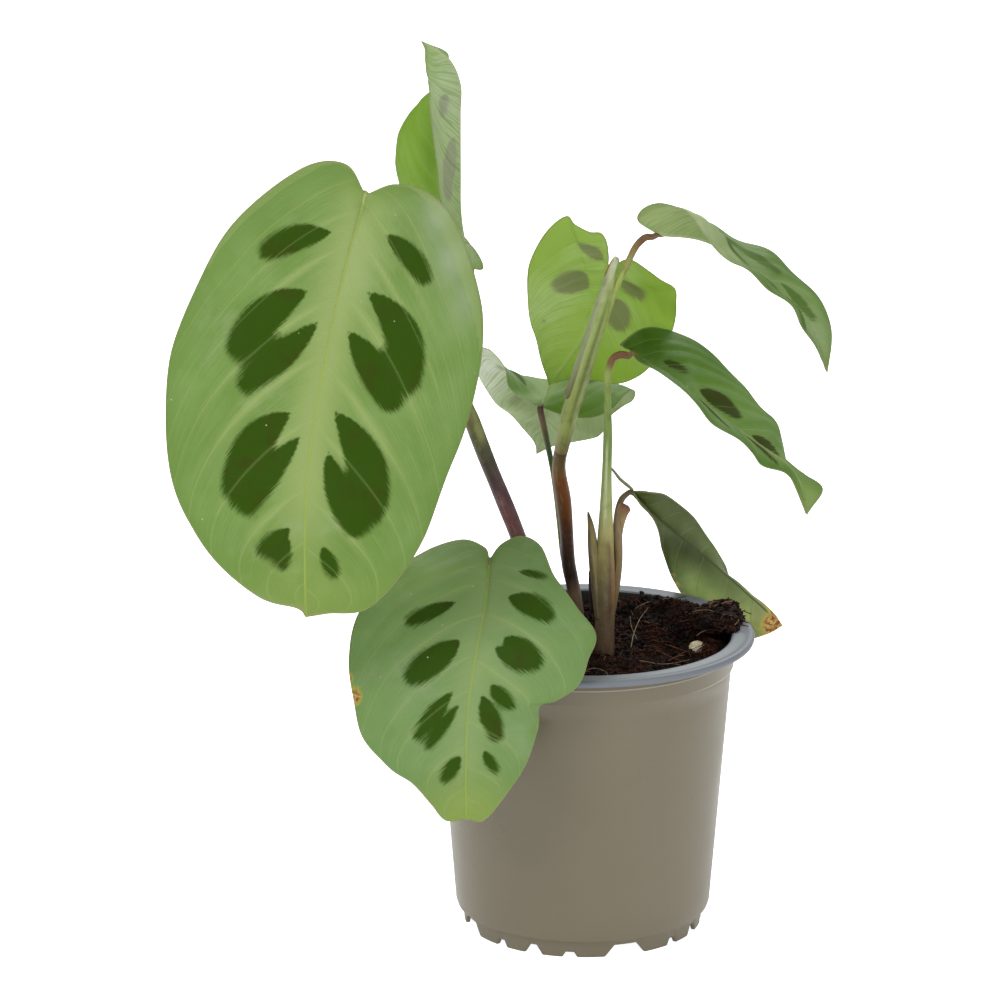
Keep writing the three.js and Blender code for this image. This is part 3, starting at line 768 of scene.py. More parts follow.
@dataclass
class Leaf:
    """A blade given by its midrib, two outlines and its markings."""

    name: str
    node: str
    age: LeafKind
    midrib: Points
    sky: Points
    left: Points
    right: Points
    bulge: Pair
    wave: Triple
    slope: Pair = (1.0, 1.0)
    laterals: tuple[tuple[float, ...], tuple[float, ...]] | None = None
    blotches: list[Blotch] = field(default_factory=list)
    scorches: list[Scorch] = field(default_factory=list)
    washes: list[Wash] = field(default_factory=list)
    banding: float = 0.9
    joining: float = 2.0
    yellow_tip: float = 0.4
    rows: int = 150
    half_columns: int = 34
    thickness: float = 0.45
    rib: float = 0.75
    slot: str = "leaf"

    def __post_init__(self) -> None:
        """Measures the midrib and completes the outlines."""
        self.ribs = np.array(self.midrib, float)
        self.parameter = np.linspace(0, 1, ARC_SAMPLES)
        line = along_points(self.ribs, self.parameter)
        steps = np.linalg.norm(np.diff(line, axis=0), axis=1)
        self.arc = np.concatenate([[0], np.cumsum(steps)])
        self.length = float(self.arc[-1])
        self.outlines = {
            side: np.array([(0, 0, points[0][2]), *points, (self.length, 0, points[-1][2])], float)
            for side, points in ((-1, self.left), (1, self.right))}
        self.half_width = max(point[1] for point in self.left + self.right)

    def frames(self, distance: Rows) -> tuple[Rows, Rows, Rows, Rows]:
        """Midrib point and its forward, up and sideways directions at distances along it.

        Args:
            distance: Millimetres along the midrib.

        Returns:
            The points and the three directions.
        """
        inside = np.clip(distance, 0, self.length)
        share = np.interp(inside, self.arc, self.parameter)
        point = along_points(self.ribs, share)
        ahead, behind = (along_points(self.ribs, share + nudge) for nudge in (0.002, -0.002))
        forward = unit(ahead - behind)
        point = point + forward * (distance - inside)[..., None]
        skies = np.array(self.sky, float)
        way = np.clip(distance / self.length, 0, 1)
        sky = along_points(skies, way) if len(skies) > 1 else np.broadcast_to(skies[0], point.shape)
        up = unit(sky - forward * np.sum(sky * forward, -1, keepdims=True))
        return point, forward, up, np.cross(forward, up)

    def surface(self, share: Rows, out: Rows, side: int) -> tuple[Rows, Rows, Rows, Rows]:
        """Middle surface of one half.

        Args:
            share: Shares along the outline.
            out: Shares out from the midrib to the margin.
            side: 1 for the right half, -1 for the left.

        Returns:
            The points, the distance along, the distance out and the half's width there.
        """
        margin = along_points(self.outlines[side], share)
        start = self.length * share
        along = start + (margin[..., 0] - start) * out
        width = np.maximum(margin[..., 1], 0)
        lift = np.radians(margin[..., 2])
        point, _, up, sideways = self.frames(along)
        height, count, offset = self.wave
        shift = offset + (RIGHT_WAVE_SHIFT if side > 0 else 0)
        phase = 2 * np.pi * (count * along / self.length + shift)
        reach = np.clip(width / (0.3 * self.length), 0, 1)
        bulge = (self.bulge[side > 0] * width * 4 * out * (1 - out)
                 + height * out**2 * np.sin(phase) * reach)
        outward = width * out * np.cos(lift) - bulge * np.sin(lift)
        upward = width * out * np.sin(lift) + bulge * np.cos(lift)
        point = point + sideways * (side * outward)[..., None] + up * upward[..., None]
        return point, along, width * out, width

    def vein_lead(self, along: Rows, out: Rows, share: Rows, side: int) -> Rows:
        """Where on the midrib the vein through a place begins; veins turn along the margin."""
        slope = self.slope[side > 0]
        return along - slope * (0.75 * out + 0.010 * out**2) - 0.10 * self.length * share**6

    def vein_phase(self, lead: Rows, side: int) -> Rows:
        """Vein start as a number that is whole at each main vein."""
        if self.laterals is None:
            starts = (VEIN_SHARES + 0.012 * side) * self.length
        else:
            starts = np.array(self.laterals[side > 0])
        return np.interp(lead, starts, np.arange(len(starts), dtype=float))

    def blotch_field(self, along: Rows, out: Rows, side: int) -> tuple[Rows, Rows]:
        """Depth inside the nearest blotch, negative outside, and how far out along it.

        Args:
            along: Distances along the midrib.
            out: Distances out from it.
            side: 1 for the right half, -1 for the left.

        Returns:
            The depths and the shares along.
        """
        depth = np.full(along.shape, OUTSIDE)
        feather = np.zeros(along.shape)
        for blotch in (blotch for blotch in self.blotches if blotch.side == side):
            own = np.full(along.shape, OUTSIDE)
            run = np.zeros(along.shape)
            tip = np.array(blotch.tip, float)
            end = np.array(blotch.end, float)
            axis = end - tip
            bent = 2 * blotch.bend * np.array([-axis[1], axis[0]]) / np.hypot(*axis)
            middle = (tip + end) / 2 + bent
            for t in np.linspace(0, 1, BLOTCH_STEPS):
                x, y = (1 - t) ** 2 * tip + 2 * t * (1 - t) * middle + t**2 * end
                if t < 0.6:
                    full = 0.10 + 0.90 * math.sin(math.pi * t / 1.2) ** 0.9
                else:
                    full = 1 - 0.30 * ((t - 0.6) / 0.4) ** 2
                inside = full * 0.55 * blotch.width - np.hypot(along - x, out - y)
                run = np.where(inside > own, t, run)
                own = np.maximum(own, inside)
            reach = 0.2 + self.joining * smooth_step(0.18, 0.6, np.minimum(run, feather))
            bridge = reach * np.clip(1 - np.abs(own - depth) / reach, 0, 1) ** 2 / 4
            feather = np.where(own > depth, run, feather)
            depth = np.maximum(depth, own) + bridge
        return depth, feather

    def grid(self) -> dict[str, Rows]:
        """The middle surface as a grid of rows and columns, with its measures."""
        share = np.linspace(0, 1, self.rows + 1)[:, None]
        steps = np.arange(self.half_columns + 1)
        halves = []
        for side, columns in ((-1, steps[::-1]), (1, steps[1:])):
            out = np.broadcast_to(columns / self.half_columns, (len(share), len(columns)))
            point, along, far, width = self.surface(share, out, side)
            lead = self.vein_lead(along, far, out, side)
            phase = self.vein_phase(lead, side)
            depth, feather = self.blotch_field(along, far, side)
            off_vein = np.abs(phase - np.round(phase)) * self.length / 7
            band = np.exp(-(off_vein / 2.4) ** 2) * (1 - smooth_step(0.4, 0.85, out))
            pale = np.maximum(np.exp(-(far / (0.17 * self.half_width)) ** 2), 0.85 * band)
            halves.append({
                "point": point, "far": side * far, "lead": lead, "phase": phase, "depth": depth,
                "feather": feather, "margin": np.maximum(width - far, 0), "along": along,
                "pale": pale * smooth_step(0.0, 0.12, share) * self.banding, "out": out,
                "dry": self._dryness(along, far, side),
                "yellow": self.yellow_tip * smooth_step(0.82, 1.0, along / self.length)})
        grid = {key: np.concatenate([half[key] for half in halves], 1) for key in halves[0]}
        grid["wash"] = self._washed(grid["along"], grid["far"])
        return grid

    def _washed(self, along: Rows, far: Rows) -> Rows:
        """Colour of the washes at each place, and in the fourth value how strong they are.

        Args:
            along: Distances along the midrib.
            far: Distances out, negative at the left.

        Returns:
            One row for each place.
        """
        tone = np.zeros((*along.shape, 4))
        for wash in self.washes:
            away = np.hypot((along - wash.place[0]) / wash.radii[0],
                            (far - wash.place[1]) / wash.radii[1])
            weight = (wash.strength * np.exp(-away**2))[..., None]
            left = tone[..., 3:] * (1 - weight)
            total = left + weight
            mixed = (tone[..., :3] * left + np.array(colour(wash.code)[:3]) * weight)
            tone = np.concatenate([mixed / np.maximum(total, 1e-6), total], -1)
        return tone

    def _dryness(self, along: Rows, out: Rows, side: int) -> Rows:
        """How dry the blade is at each place, from 0 to 1.

        Args:
            along: Distances along the midrib.
            out: Distances out from it.
            side: 1 for the right half, -1 for the left.

        Returns:
            One value for each place.
        """
        dry = np.zeros(along.shape)
        for scorch in self.scorches:
            if scorch.side in (side, 0):
                away = np.hypot(along - scorch.place[0], out - scorch.place[1])
                dry = np.maximum(dry, 1 - away / (1.6 * scorch.radius))
        return np.clip(dry, 0, 1)

    def build(self) -> Object:
        """Both faces of the blade as one closed mesh."""
        grid = self.grid()
        point = grid["point"]
        across = np.gradient(point, axis=1)
        forward = np.gradient(point, axis=0)
        normal = unit(np.cross(across, forward))
        normal[0, :] = normal[1, self.half_columns]
        normal[-1, :] = normal[-2, self.half_columns]
        out = grid["out"]
        far = np.abs(grid["far"])
        taper = 1 - 0.75 * np.clip(grid["along"] / self.length, 0, 1)
        quilt = -0.20 * np.cos(2 * np.pi * grid["phase"]) * 4 * out * (1 - out)
        groove = -0.30 * taper * np.exp(-(far / 1.1) ** 2)
        thin = self.thickness * (0.5 - 0.22 * out**4)
        start = smooth_step(0.0, 0.03, grid["along"] / self.length)
        rib = self.rib * taper * np.exp(-far**2) * start
        top = point + normal * (thin + quilt + groove)[..., None]
        low = point - normal * (thin - quilt + rib)[..., None]
        rows, columns = point.shape[:2]
        count = rows * columns
        index = np.arange(count).reshape(rows, columns)
        index[0, :] = index[0, self.half_columns]
        index[-1, :] = index[-1, self.half_columns]
        upper = self._faces(index)
        lower = [face[::-1] for face in self._faces(index + count)]
        rim = self._rim(index, count)
        used = np.concatenate([top.reshape(-1, 3), low.reshape(-1, 3)])
        keep, faces = self._drop_unused(upper + lower + rim, len(used))
        piece = make_mesh(self.name, used[keep], faces)
        doubled = {key: np.concatenate([value.reshape(-1, *value.shape[2:])] * 2)[keep]
                   for key, value in grid.items()}
        write_attribute(piece, "wash", "FLOAT_COLOR", doubled["wash"])
        for name, keys in (("veins", ("far", "lead", "phase")),
                           ("marks", ("depth", "feather", "margin")),
                           ("state", ("pale", "dry", "yellow"))):
            values = np.stack([doubled[key] for key in keys], -1)
            write_attribute(piece, name, "FLOAT_VECTOR", values)
        kinds = [0] * len(upper) + [1] * len(lower + rim)
        piece.data.polygons.foreach_set("material_index", kinds)
        return piece

    @staticmethod
    def _faces(index: Rows) -> list[tuple[int, ...]]:
        """Faces between the rows, without the repeated corners at base and tip.

        Args:
            index: The point number at each row and column.

        Returns:
            Corner indices of each face.
        """
        faces = []
        for row in range(index.shape[0] - 1):
            for column in range(index.shape[1] - 1):
                ring = (index[row, column], index[row, column + 1],
                        index[row + 1, column + 1], index[row + 1, column])
                corners = tuple(dict.fromkeys(int(corner) for corner in ring))
                if len(corners) > 2:
                    faces.append(corners)
        return faces

    @staticmethod
    def _rim(index: Rows, count: int) -> list[tuple[int, ...]]:
        """Narrow faces that join the two faces of the blade round its margin.

        Args:
            index: The point number at each row and column.
            count: How far the lower face's numbers lie above the upper's.

        Returns:
            Corner indices of each face.
        """
        loop = [int(v) for v in index[:, 0]] + [int(v) for v in index[::-1, -1]]
        loop = [v for place, v in enumerate(loop) if v != loop[place - 1]]
        return [(loop[place - 1], v, v + count, loop[place - 1] + count)
                for place, v in enumerate(loop)]

    @staticmethod
    def _drop_unused(faces: list[tuple[int, ...]],
                     count: int) -> tuple[Rows, list[tuple[int, ...]]]:
        """Indices of the points in use, and the faces on the shortened list.

        Args:
            faces: Corner indices of each face.
            count: How many points there are.

        Returns:
            The points to keep and the renumbered faces.
        """
        seen = np.zeros(count, bool)
        for face in faces:
            seen[list(face)] = True
        place = np.cumsum(seen) - 1
        return np.flatnonzero(seen), [tuple(int(place[v]) for v in face) for face in faces]

    def dress(self, piece: Object, groups: SharedGroups, made: dict[str, Material]) -> None:
        """Gives the blade its two finishes, made once for each kind of leaf."""
        finish: BladeFinish = self.age.value
        for side, make in (("upper", finish.upper), ("underside", finish.underside)):
            key = f"{finish.name}_{side}"
            if key not in made:
                made[key] = make(groups)
            piece.data.materials.append(made[key])


def leaves() -> Iterator[Leaf]:
    """The eight leaves, from the largest at the left round to the cupped one behind."""
    large_laterals = ((-30.0, -12.0, 3.0, 14.0, 33.0, 59.0, 79.0, 103.0, 120.0, 134.0, 150.0),
                      (-30.0, -11.0, 5.0, 18.0, 36.0, 55.0, 77.0, 100.0, 118.0, 132.0, 150.0))
    hanging_laterals = ((-22.0, -8.0, 3.0, 11.0, 27.0, 46.0, 67.0, 82.0, 93.0, 110.0),
                        (-22.0, -9.0, 2.0, 12.0, 28.0, 44.0, 56.0, 75.0, 89.0, 110.0))
    yield Leaf(
        "leaf_left_large", "leaf_1", LeafKind.MATURE,
        midrib=[(-74, -52, 273), (-81, -65, 249), (-87, -74, 222), (-92, -80, 194),
            (-94, -85, 166), (-94, -86, 137)], sky=[(0, -1, 0.2)],
        left=[(-6, 9, 4), (-5, 22, 4), (5, 34, 3), (28, 47, -2), (57, 51, -7), (89, 47, -8),
            (123, 37, -7), (141, 22, -6), (143, 7, -6)],
        right=[(-8, 9, 6), (-3, 22, 6), (17, 37, 2), (36, 45, -2), (67, 51, -6), (99, 46, -8),
            (121, 34, -7), (137, 16, -6), (141, 3, -6)], bulge=(0.03, 0.03), wave=(0.7, 4, 0.1),
        laterals=large_laterals,
        blotches=[Blotch(1, (16.5, 8), (27, 26), 8.0, 1.0),
            Blotch(1, (37, 11), (58, 29), 11.0, 2.0), Blotch(1, (46, 5), (70, 24), 8.5, -0.5),
            Blotch(1, (77, 8.5), (101, 24), 11.0, 2.5), Blotch(1, (84, 4), (107, 19), 7.5, 0.5),
            Blotch(1, (114, 5), (121, 14), 5.0), Blotch(1, (115, 6), (126, 7.5), 3.6),
            Blotch(-1, (12, 10.5), (23, 26), 7.0, 1.0), Blotch(-1, (33, 9.5), (58, 28), 11.0, 4.5),
            Blotch(-1, (47, 6), (67, 23), 9.5, 0.8), Blotch(-1, (74, 6.5), (106, 22), 12.0, 4.0),
            Blotch(-1, (88, 6), (113, 16), 8.5, -0.5), Blotch(-1, (120, 6), (129, 9.5), 5.0)],
        # The whitish washes near the base of the left half are partly water stain and partly
        # painted sheen.
        washes=[Wash((1, -26), (9, 6), 0xC6CEBA, 0.5), Wash((14, -34), (9, 6), 0xC6CEBA, 0.5),
            Wash((28, -41), (10, 5), 0xBCC6AC, 0.4), Wash((129, 1), (17, 16), 0x7C9A46, 0.8),
            Wash((24, -4), (14, 9), 0xB6C682, 0.4), Wash((1, 0), (4, 5), 0x9EB464, 0.8)],
        joining=10.0, yellow_tip=0.25, rows=190, half_columns=46)
    yield Leaf(
        "leaf_front_hanging", "leaf_2", LeafKind.MATURE,
        midrib=[(-33, -25, 140), (-34, -43, 131), (-37, -59, 119), (-40, -69, 102), (-41, -75, 83),
            (-41, -77, 63)], sky=[(0, -1, 0.9)],
        left=[(-7, 4, 10), (-10, 11, 10), (-3, 18, 10), (12, 23, 9), (23, 31, 7), (31, 39, 5),
            (40, 38, 2), (49, 36, -1), (56, 29, -3), (59, 24, -4), (68, 24, -3), (82, 20, 0),
            (93, 13, 0), (101, 6, 0)],
        right=[(-5, 2, 10), (-7, 10, 10), (1, 22, 10), (15, 33, 6), (35, 42, -1), (51, 43, -4),
            (63, 39, -4), (74, 35, -1), (83, 26, 0), (88, 18, 0), (95, 12, 0), (101, 7, 0)],
        bulge=(0.04, 0.04), wave=(0.9, 4, 0.4), slope=(0.55, 0.9), laterals=hanging_laterals,
        blotches=[Blotch(-1, (9, 10.5), (12, 19), 3.4), Blotch(-1, (21, 8), (27, 21.5), 8.0, 0.5),
            Blotch(-1, (37.5, 9), (44, 20), 8.0), Blotch(-1, (41, 6.5), (46, 17), 6.0),
            Blotch(-1, (54, 7), (60, 13.5), 5.4), Blotch(-1, (58, 4.5), (71, 10), 6.4),
            Blotch(-1, (77, 6), (83, 10), 3.6), Blotch(1, (26, 10.5), (36, 23.5), 5.5),
            Blotch(1, (40.5, 6.5), (54, 19.5), 9.0), Blotch(1, (58, 6), (72, 16), 5.4),
            Blotch(1, (62, 3.5), (75, 12.5), 4.2), Blotch(1, (79, 2), (86, 7), 4.6)],
        scorches=[Scorch(1, (62, 39), 2.6), Scorch(1, (57, 41.5), 1.4)],
        # The pale washes at (22, 33) and (12, 22), near the base of the right half, are painted
        # light that lifts the shade there.
        washes=[Wash((50, 0), (90, 70), 0x84A472, 0.55), Wash((22, 33), (16, 13), 0xA8C680, 0.75),
            Wash((12, 22), (12, 12), 0xA0BE70, 0.6), Wash((96, -1), (12, 11), 0x829E48, 0.75)],
        yellow_tip=0.5, rows=170, half_columns=42)
    yield Leaf(
        "leaf_top_young", "leaf_3", LeafKind.YOUNG, slot="young_leaf",
        midrib=[(-40, -10, 239), (-42, -10, 250), (-43, -10, 260), (-43, -11, 271),
            (-43, -12, 282), (-43, -12, 293), (-43, -13, 303), (-47, -14, 312), (-56, -15, 318)],
        sky=[(-1, 0, 0)],
        left=[(0, 10, -1), (-1, 19, 16), (7, 27, 28), (17, 31, 37), (27, 32, 44), (35, 31, 46),
            (45, 28, 48), (51, 24, 48), (55, 19, 47), (60, 13, 44), (70, 7, 34), (76, 3, -10)],
        right=[(0, 7, -44), (9, 10, -17), (14, 13, 9), (23, 16, 17), (30, 16, 25), (38, 15, 30),
            (47, 15, 36), (56, 15, 41), (65, 13, 52), (77, 10, 55), (81, 6, 51), (83, 2, 50)],
        bulge=(0.1, 0.06), wave=(0, 3, 0), rib=0.15,
        blotches=[Blotch(1, (62, 6), (56, 8), 4.4), Blotch(1, (46, 3), (29, 9), 7.5, -0.5)],
        washes=[Wash((58, 6), (26, 12), 0xD0DCB4, 0.9), Wash((34, 8), (20, 12), 0xBCCC96, 0.8),
            Wash((5, 6), (7, 6), 0xBAC69C, 0.9), Wash((36, -11), (20, 4), 0x74941E, 0.75),
            Wash((16, -15), (10, 5), 0x7E9C24, 0.5)], banding=0.35, yellow_tip=0.2)
    yield Leaf(
        "leaf_middle_backlit", "leaf_4", LeafKind.BACKLIT, slot="young_leaf",
        midrib=[(8, 12, 233), (6, 20, 224), (3, 27, 214), (-1, 33, 204), (-6, 38, 195),
            (-12, 43, 185)], sky=[(0, 0.8, 0.6)],
        left=[(-6, 3, 72), (-9, 6, 70), (-11, 9, 60), (-10, 12, 46), (-11, 17, 37), (-12, 21, 37),
            (-8, 24, 27), (-1, 26, 17), (9, 27, 11), (20, 25, 3), (35, 20, 0), (50, 10, -5),
            (58, 3, -15)],
        right=[(-7, 5, 7), (-6, 12, -8), (-3, 18, -11), (0, 24, -10), (6, 26, -14), (17, 28, -17),
            (30, 27, -17), (39, 25, -18), (46, 20, -18), (51, 12, -13), (58, 4, 6)],
        bulge=(0.05, 0.05), wave=(0.4, 4, 0.2),
        blotches=[Blotch(-1, (13, 7), (17, 14), 9.0), Blotch(-1, (-1, 5), (-2, 12), 5.0),
            Blotch(1, (4, 6), (10, 13), 5.6), Blotch(1, (15, 6), (25, 10), 8.0),
            Blotch(-1, (34, 15), (34.6, 15), 1.2)],
        washes=[Wash((12, 22), (24, 12), 0x98B84C, 0.75), Wash((28, -16), (16, 9), 0xDCE6C0, 0.6),
            Wash((41, -6), (12, 8), 0xCCDA9A, 0.5)], yellow_tip=0.2)
    yield Leaf(
        "leaf_right_upper", "leaf_5", LeafKind.ARCHED,
        midrib=[(24, 0, 249), (40, 0, 247), (55, 0, 239), (68, 0, 228), (78, 0, 215),
            (84, 0, 200)], sky=[(0.3, 0, 1)],
        left=[(-3, 6, 9), (0, 16, 13), (9, 22, 8), (20, 24, 3), (32, 24, 5), (44, 23, 13),
            (57, 19, 19), (67, 13, 33), (75, 6, 48)],
        right=[(-7, 7, 40), (-6, 14, 44), (0, 20, 44), (8, 21, 35), (16, 20, 11), (25, 20, 2),
            (32, 19, 1), (42, 17, -1), (53, 14, 1), (62, 11, -7), (75, 5, -9)], bulge=(0.04, 0.04),
        wave=(0.7, 4, 0.3),
        blotches=[Blotch(-1, (22, 10), (44, 10), 7.0), Blotch(1, (37, 9), (45, 10), 2.6),
            Blotch(-1, (48, 4), (63, 4), 5.4), Blotch(1, (20, 5), (32, 13), 5.0),
            Blotch(1, (50, 4), (62, 9), 4.4), Blotch(-1, (6, 6), (14, 15), 5.0)],
        washes=[Wash((2, 12), (12, 11), 0xC4D692, 0.7), Wash((14, 20), (12, 9), 0xCCD6A8, 0.7),
            Wash((21, 15), (12, 8), 0xC0CE98, 0.5), Wash((66, -1), (13, 9), 0xB4C494, 0.6)],
        banding=0.6, yellow_tip=0.3)
    yield Leaf(
        "leaf_right_lower", "leaf_6", LeafKind.SHADED,
        midrib=[(16, -3, 208), (31, -7, 199), (44, -11, 189), (58, -14, 179), (72, -14, 168),
            (77, -12, 152)], sky=[(0.4, -0.35, 1), (0.5, -0.35, 0.9), (0.7, -0.3, 0.6)],
        left=[(-5, 4, -35), (-3, 13, 3), (5, 22, 7), (19, 27, 3), (28, 28, 1), (42, 28, -4),
            (58, 24, -5), (65, 17, -13), (71, 10, -25), (76, 8, 3), (81, 8, 45)],
        right=[(4, 8, 17), (12, 14, 25), (22, 17, 27), (30, 18, 23), (37, 18, 18), (47, 16, 19),
            (53, 13, 11), (58, 11, -1), (67, 5, -7), (76, 3, -22), (82, 2, -12)],
        bulge=(0.06, 0.03), wave=(0.5, 4, 0.5),
        blotches=[Blotch(-1, (11, 4), (18, 6), 3.6), Blotch(-1, (27, 3), (41, 6), 7.6, 1.0),
            Blotch(-1, (51, 1.5), (61, 2), 4.6, 0.6), Blotch(1, (26, 4), (42, 10), 3.0),
            Blotch(1, (48, 2), (62, 4), 2.6)],
        # The two dark washes at (3, -9) and (20, -16) are painted shade at the base of the left
        # half.
        washes=[Wash((3, -9), (16, 15), 0x36560E, 0.92), Wash((20, -16), (13, 13), 0x5C8428, 0.7),
            Wash((42, -18), (14, 12), 0x7CA044, 0.6)], banding=0.45, yellow_tip=0.7)
    yield Leaf(
        "leaf_right_folded", "leaf_7", LeafKind.FOLDED,
        midrib=[(17, 12, 154), (26, 26, 141), (36, 39, 129), (47, 51, 117), (60, 60, 103),
            (74, 64, 89)], sky=[(0.2, -0.7, 0.7), (0.5, -0.75, 0.5), (0.6, -0.5, 0.6)],
        left=[(5, 4, 70), (18, 8, 42), (41, 9, 23), (59, 7, 0), (72, 7, -26), (81, 9, -49),
            (93, 8, -40), (100, 5, -29)],
        right=[(5, 3, 11), (18, 3, 9), (38, 8, -46), (55, 14, -54), (71, 18, -57), (86, 20, -57),
            (95, 15, -54), (101, 6, -53)], bulge=(0.06, 0.06), wave=(0.3, 4, 0),
        scorches=[Scorch(0, (100, 2), 5.0), Scorch(1, (54, 13.5), 1.5), Scorch(1, (60, 15.5), 1.7),
            Scorch(1, (66, 17), 1.3)],
        # The dark wash by the midrib at (52, 2) is painted shade in the fold; the pale washes at
        # (66, 11) and (90, 9) are painted light on the lit half.
        washes=[Wash((97, 2), (8, 10), 0xE0D49A, 0.95), Wash((52, 2), (20, 5), 0x28340E, 0.9),
            Wash((80, 1), (13, 7), 0x76845A, 0.6), Wash((22, -3), (12, 6), 0x62703A, 0.6),
            Wash((66, 11), (24, 6), 0x98B062, 0.85), Wash((90, 9), (9, 9), 0xA8C06C, 0.85),
            Wash((60, -5), (14, 3), 0x7A8C4A, 0.5)], banding=0.3, yellow_tip=0.6)
    yield Leaf(
        "leaf_back_cupped", "leaf_8", LeafKind.PALE,
        midrib=[(-15, 30, 180), (-13, 45, 182), (-12, 59, 183), (-12, 72, 176), (-13, 80, 163),
            (-16, 83, 149)], sky=[(0, 0, 1)],
        left=[(-2, 6, 32), (0, 13, 31), (7, 18, 40), (15, 25, 38), (25, 28, 25), (34, 26, 7),
            (44, 22, -3), (52, 17, -7), (63, 9, 19), (70, 2, 47)],
        right=[(-2, 7, -15), (-3, 18, -8), (1, 24, -3), (10, 28, 2), (19, 31, -1), (29, 31, -14),
            (45, 25, -25), (58, 22, -35), (65, 13, -60), (70, 5, -61)], bulge=(-0.16, 0.06),
        wave=(0.3, 4, 0),
        blotches=[Blotch(1, (14, 7), (26, 20), 5.5), Blotch(-1, (14, 7), (26, 17), 5.0),
            Blotch(1, (34, 5), (48, 16), 5.0), Blotch(-1, (34, 5), (46, 13), 4.5)],
        washes=[Wash((29, -22), (15, 9), 0xF6F8EC, 0.95), Wash((8, 16), (12, 12), 0x6C923A, 0.4)],
        yellow_tip=0.2)


# ---- Stems ----


def bake_nodes(guide: Object, name: str, tree: NodeTree, values: dict[str, object]) -> Object:
    """Runs a geometry node tree on a guide and keeps the result as a plain mesh.

    Args:
        guide: The object that the tree reads; it is deleted afterwards.
        name: The name of the new piece.
        tree: The geometry node tree.
        values: Input values by the input's name.

    Returns:
        The new mesh object.
    """
    modifier = guide.modifiers.new("make", "NODES")
    modifier.node_group = tree
    for item in tree.interface.items_tree:
        if item.item_type == "SOCKET" and item.in_out == "INPUT" and item.name in values:
            modifier[item.identifier] = values[item.name]
    seen = guide.evaluated_get(bpy.context.evaluated_depsgraph_get())
    mesh = bpy.data.meshes.new_from_object(seen)
    mesh.name = name
    guide.modifiers.remove(modifier)
    bpy.data.objects.remove(guide)
    return link_smooth(name, mesh)


def end_tree(w: Wiring, output: str, made: NodeSocket, material: NodeSocket) -> None:
    """Ends a geometry node tree with Realize Instances and Set Material.

    Args:
        w: The tree's wiring.
        output: Name of the group's output.
        made: The geometry.
        material: The material it gets.
    """
    real = w.add("GeometryNodeRealizeInstances", {0: made})
    worn = w.add("GeometryNodeSetMaterial", {"Geometry": real.outputs[0], "Material": material})
    w.add("NodeGroupOutput", {output: worn.outputs[0]})


class StemSweep:
    """Geometry nodes that sweep a fluted round section along a centre line."""

    def __init__(self) -> None:
        """Builds the tree once."""
        self.tree, w, given = new_group("stem_sweep", "GeometryNodeTree", {
            "Line": "Geometry", "Sides": 20, "Flutes": 5.0,
            "Flute Depth": 0.03, "Skin": "Material"}, {"Stem": "Geometry"})
        line = w.add("GeometryNodeMeshToCurve", {"Mesh": given["Line"]})
        section = w.add("GeometryNodeCurvePrimitiveCircle", {"Radius": 1.0,
                                                             "Resolution": given["Sides"]})
        x, y, _ = w.parts(w.add("GeometryNodeInputPosition").outputs[0])
        turn = w.times(w.math("ARCTAN2", y, x), given["Flutes"])
        swell = w.times(w.math("COSINE", turn), given["Flute Depth"], 1.0)
        fluted = w.add("GeometryNodeSetPosition", {
            "Geometry": section.outputs["Curve"],
            "Position": w.vector(w.times(x, swell), w.times(y, swell))})
        girth = w.add("GeometryNodeInputNamedAttribute", {"Name": "girth"}, data_type="FLOAT")
        swept = w.add("GeometryNodeCurveToMesh", {
            "Curve": line.outputs["Curve"], "Profile Curve": fluted.outputs["Geometry"],
            "Scale": girth.outputs["Attribute"], "Fill Caps": True})
        end_tree(w, "Stem", swept.outputs[0], given["Skin"])

    def run(self, name: str, centres: Rows, radii: Rows, sides: int, flutes: float,
            depth: float, skin: Material) -> Object:
        """Sweeps one stem.

        Args:
            name: The piece's name.
            centres: Centre points in millimetres.
            radii: The radius at each, in millimetres.
            sides: Corners of the section.
            flutes: How many flutes run along the stem.
            depth: Their depth as a share of the radius.
            skin: The material.

        Returns:
            A plain mesh object.
        """
        edges = [(step, step + 1) for step in range(len(centres) - 1)]
        guide = make_mesh(f"{name}_guide", centres, [], edges)
        write_attribute(guide, "girth", "FLOAT", radii * MM)
        values = {"Sides": sides, "Flutes": flutes, "Flute Depth": depth, "Skin": skin}
        return bake_nodes(guide, name, self.tree, values)


@dataclass(frozen=True)
class Stripe:
    """A streak along one side of a stem, mostly its own colour, in one place a painted highlight:
    share range, angle and half width.
    """

    start: float
    end: float
    angle: float
    half_width: float
    code: int
    strength: float = 0.8


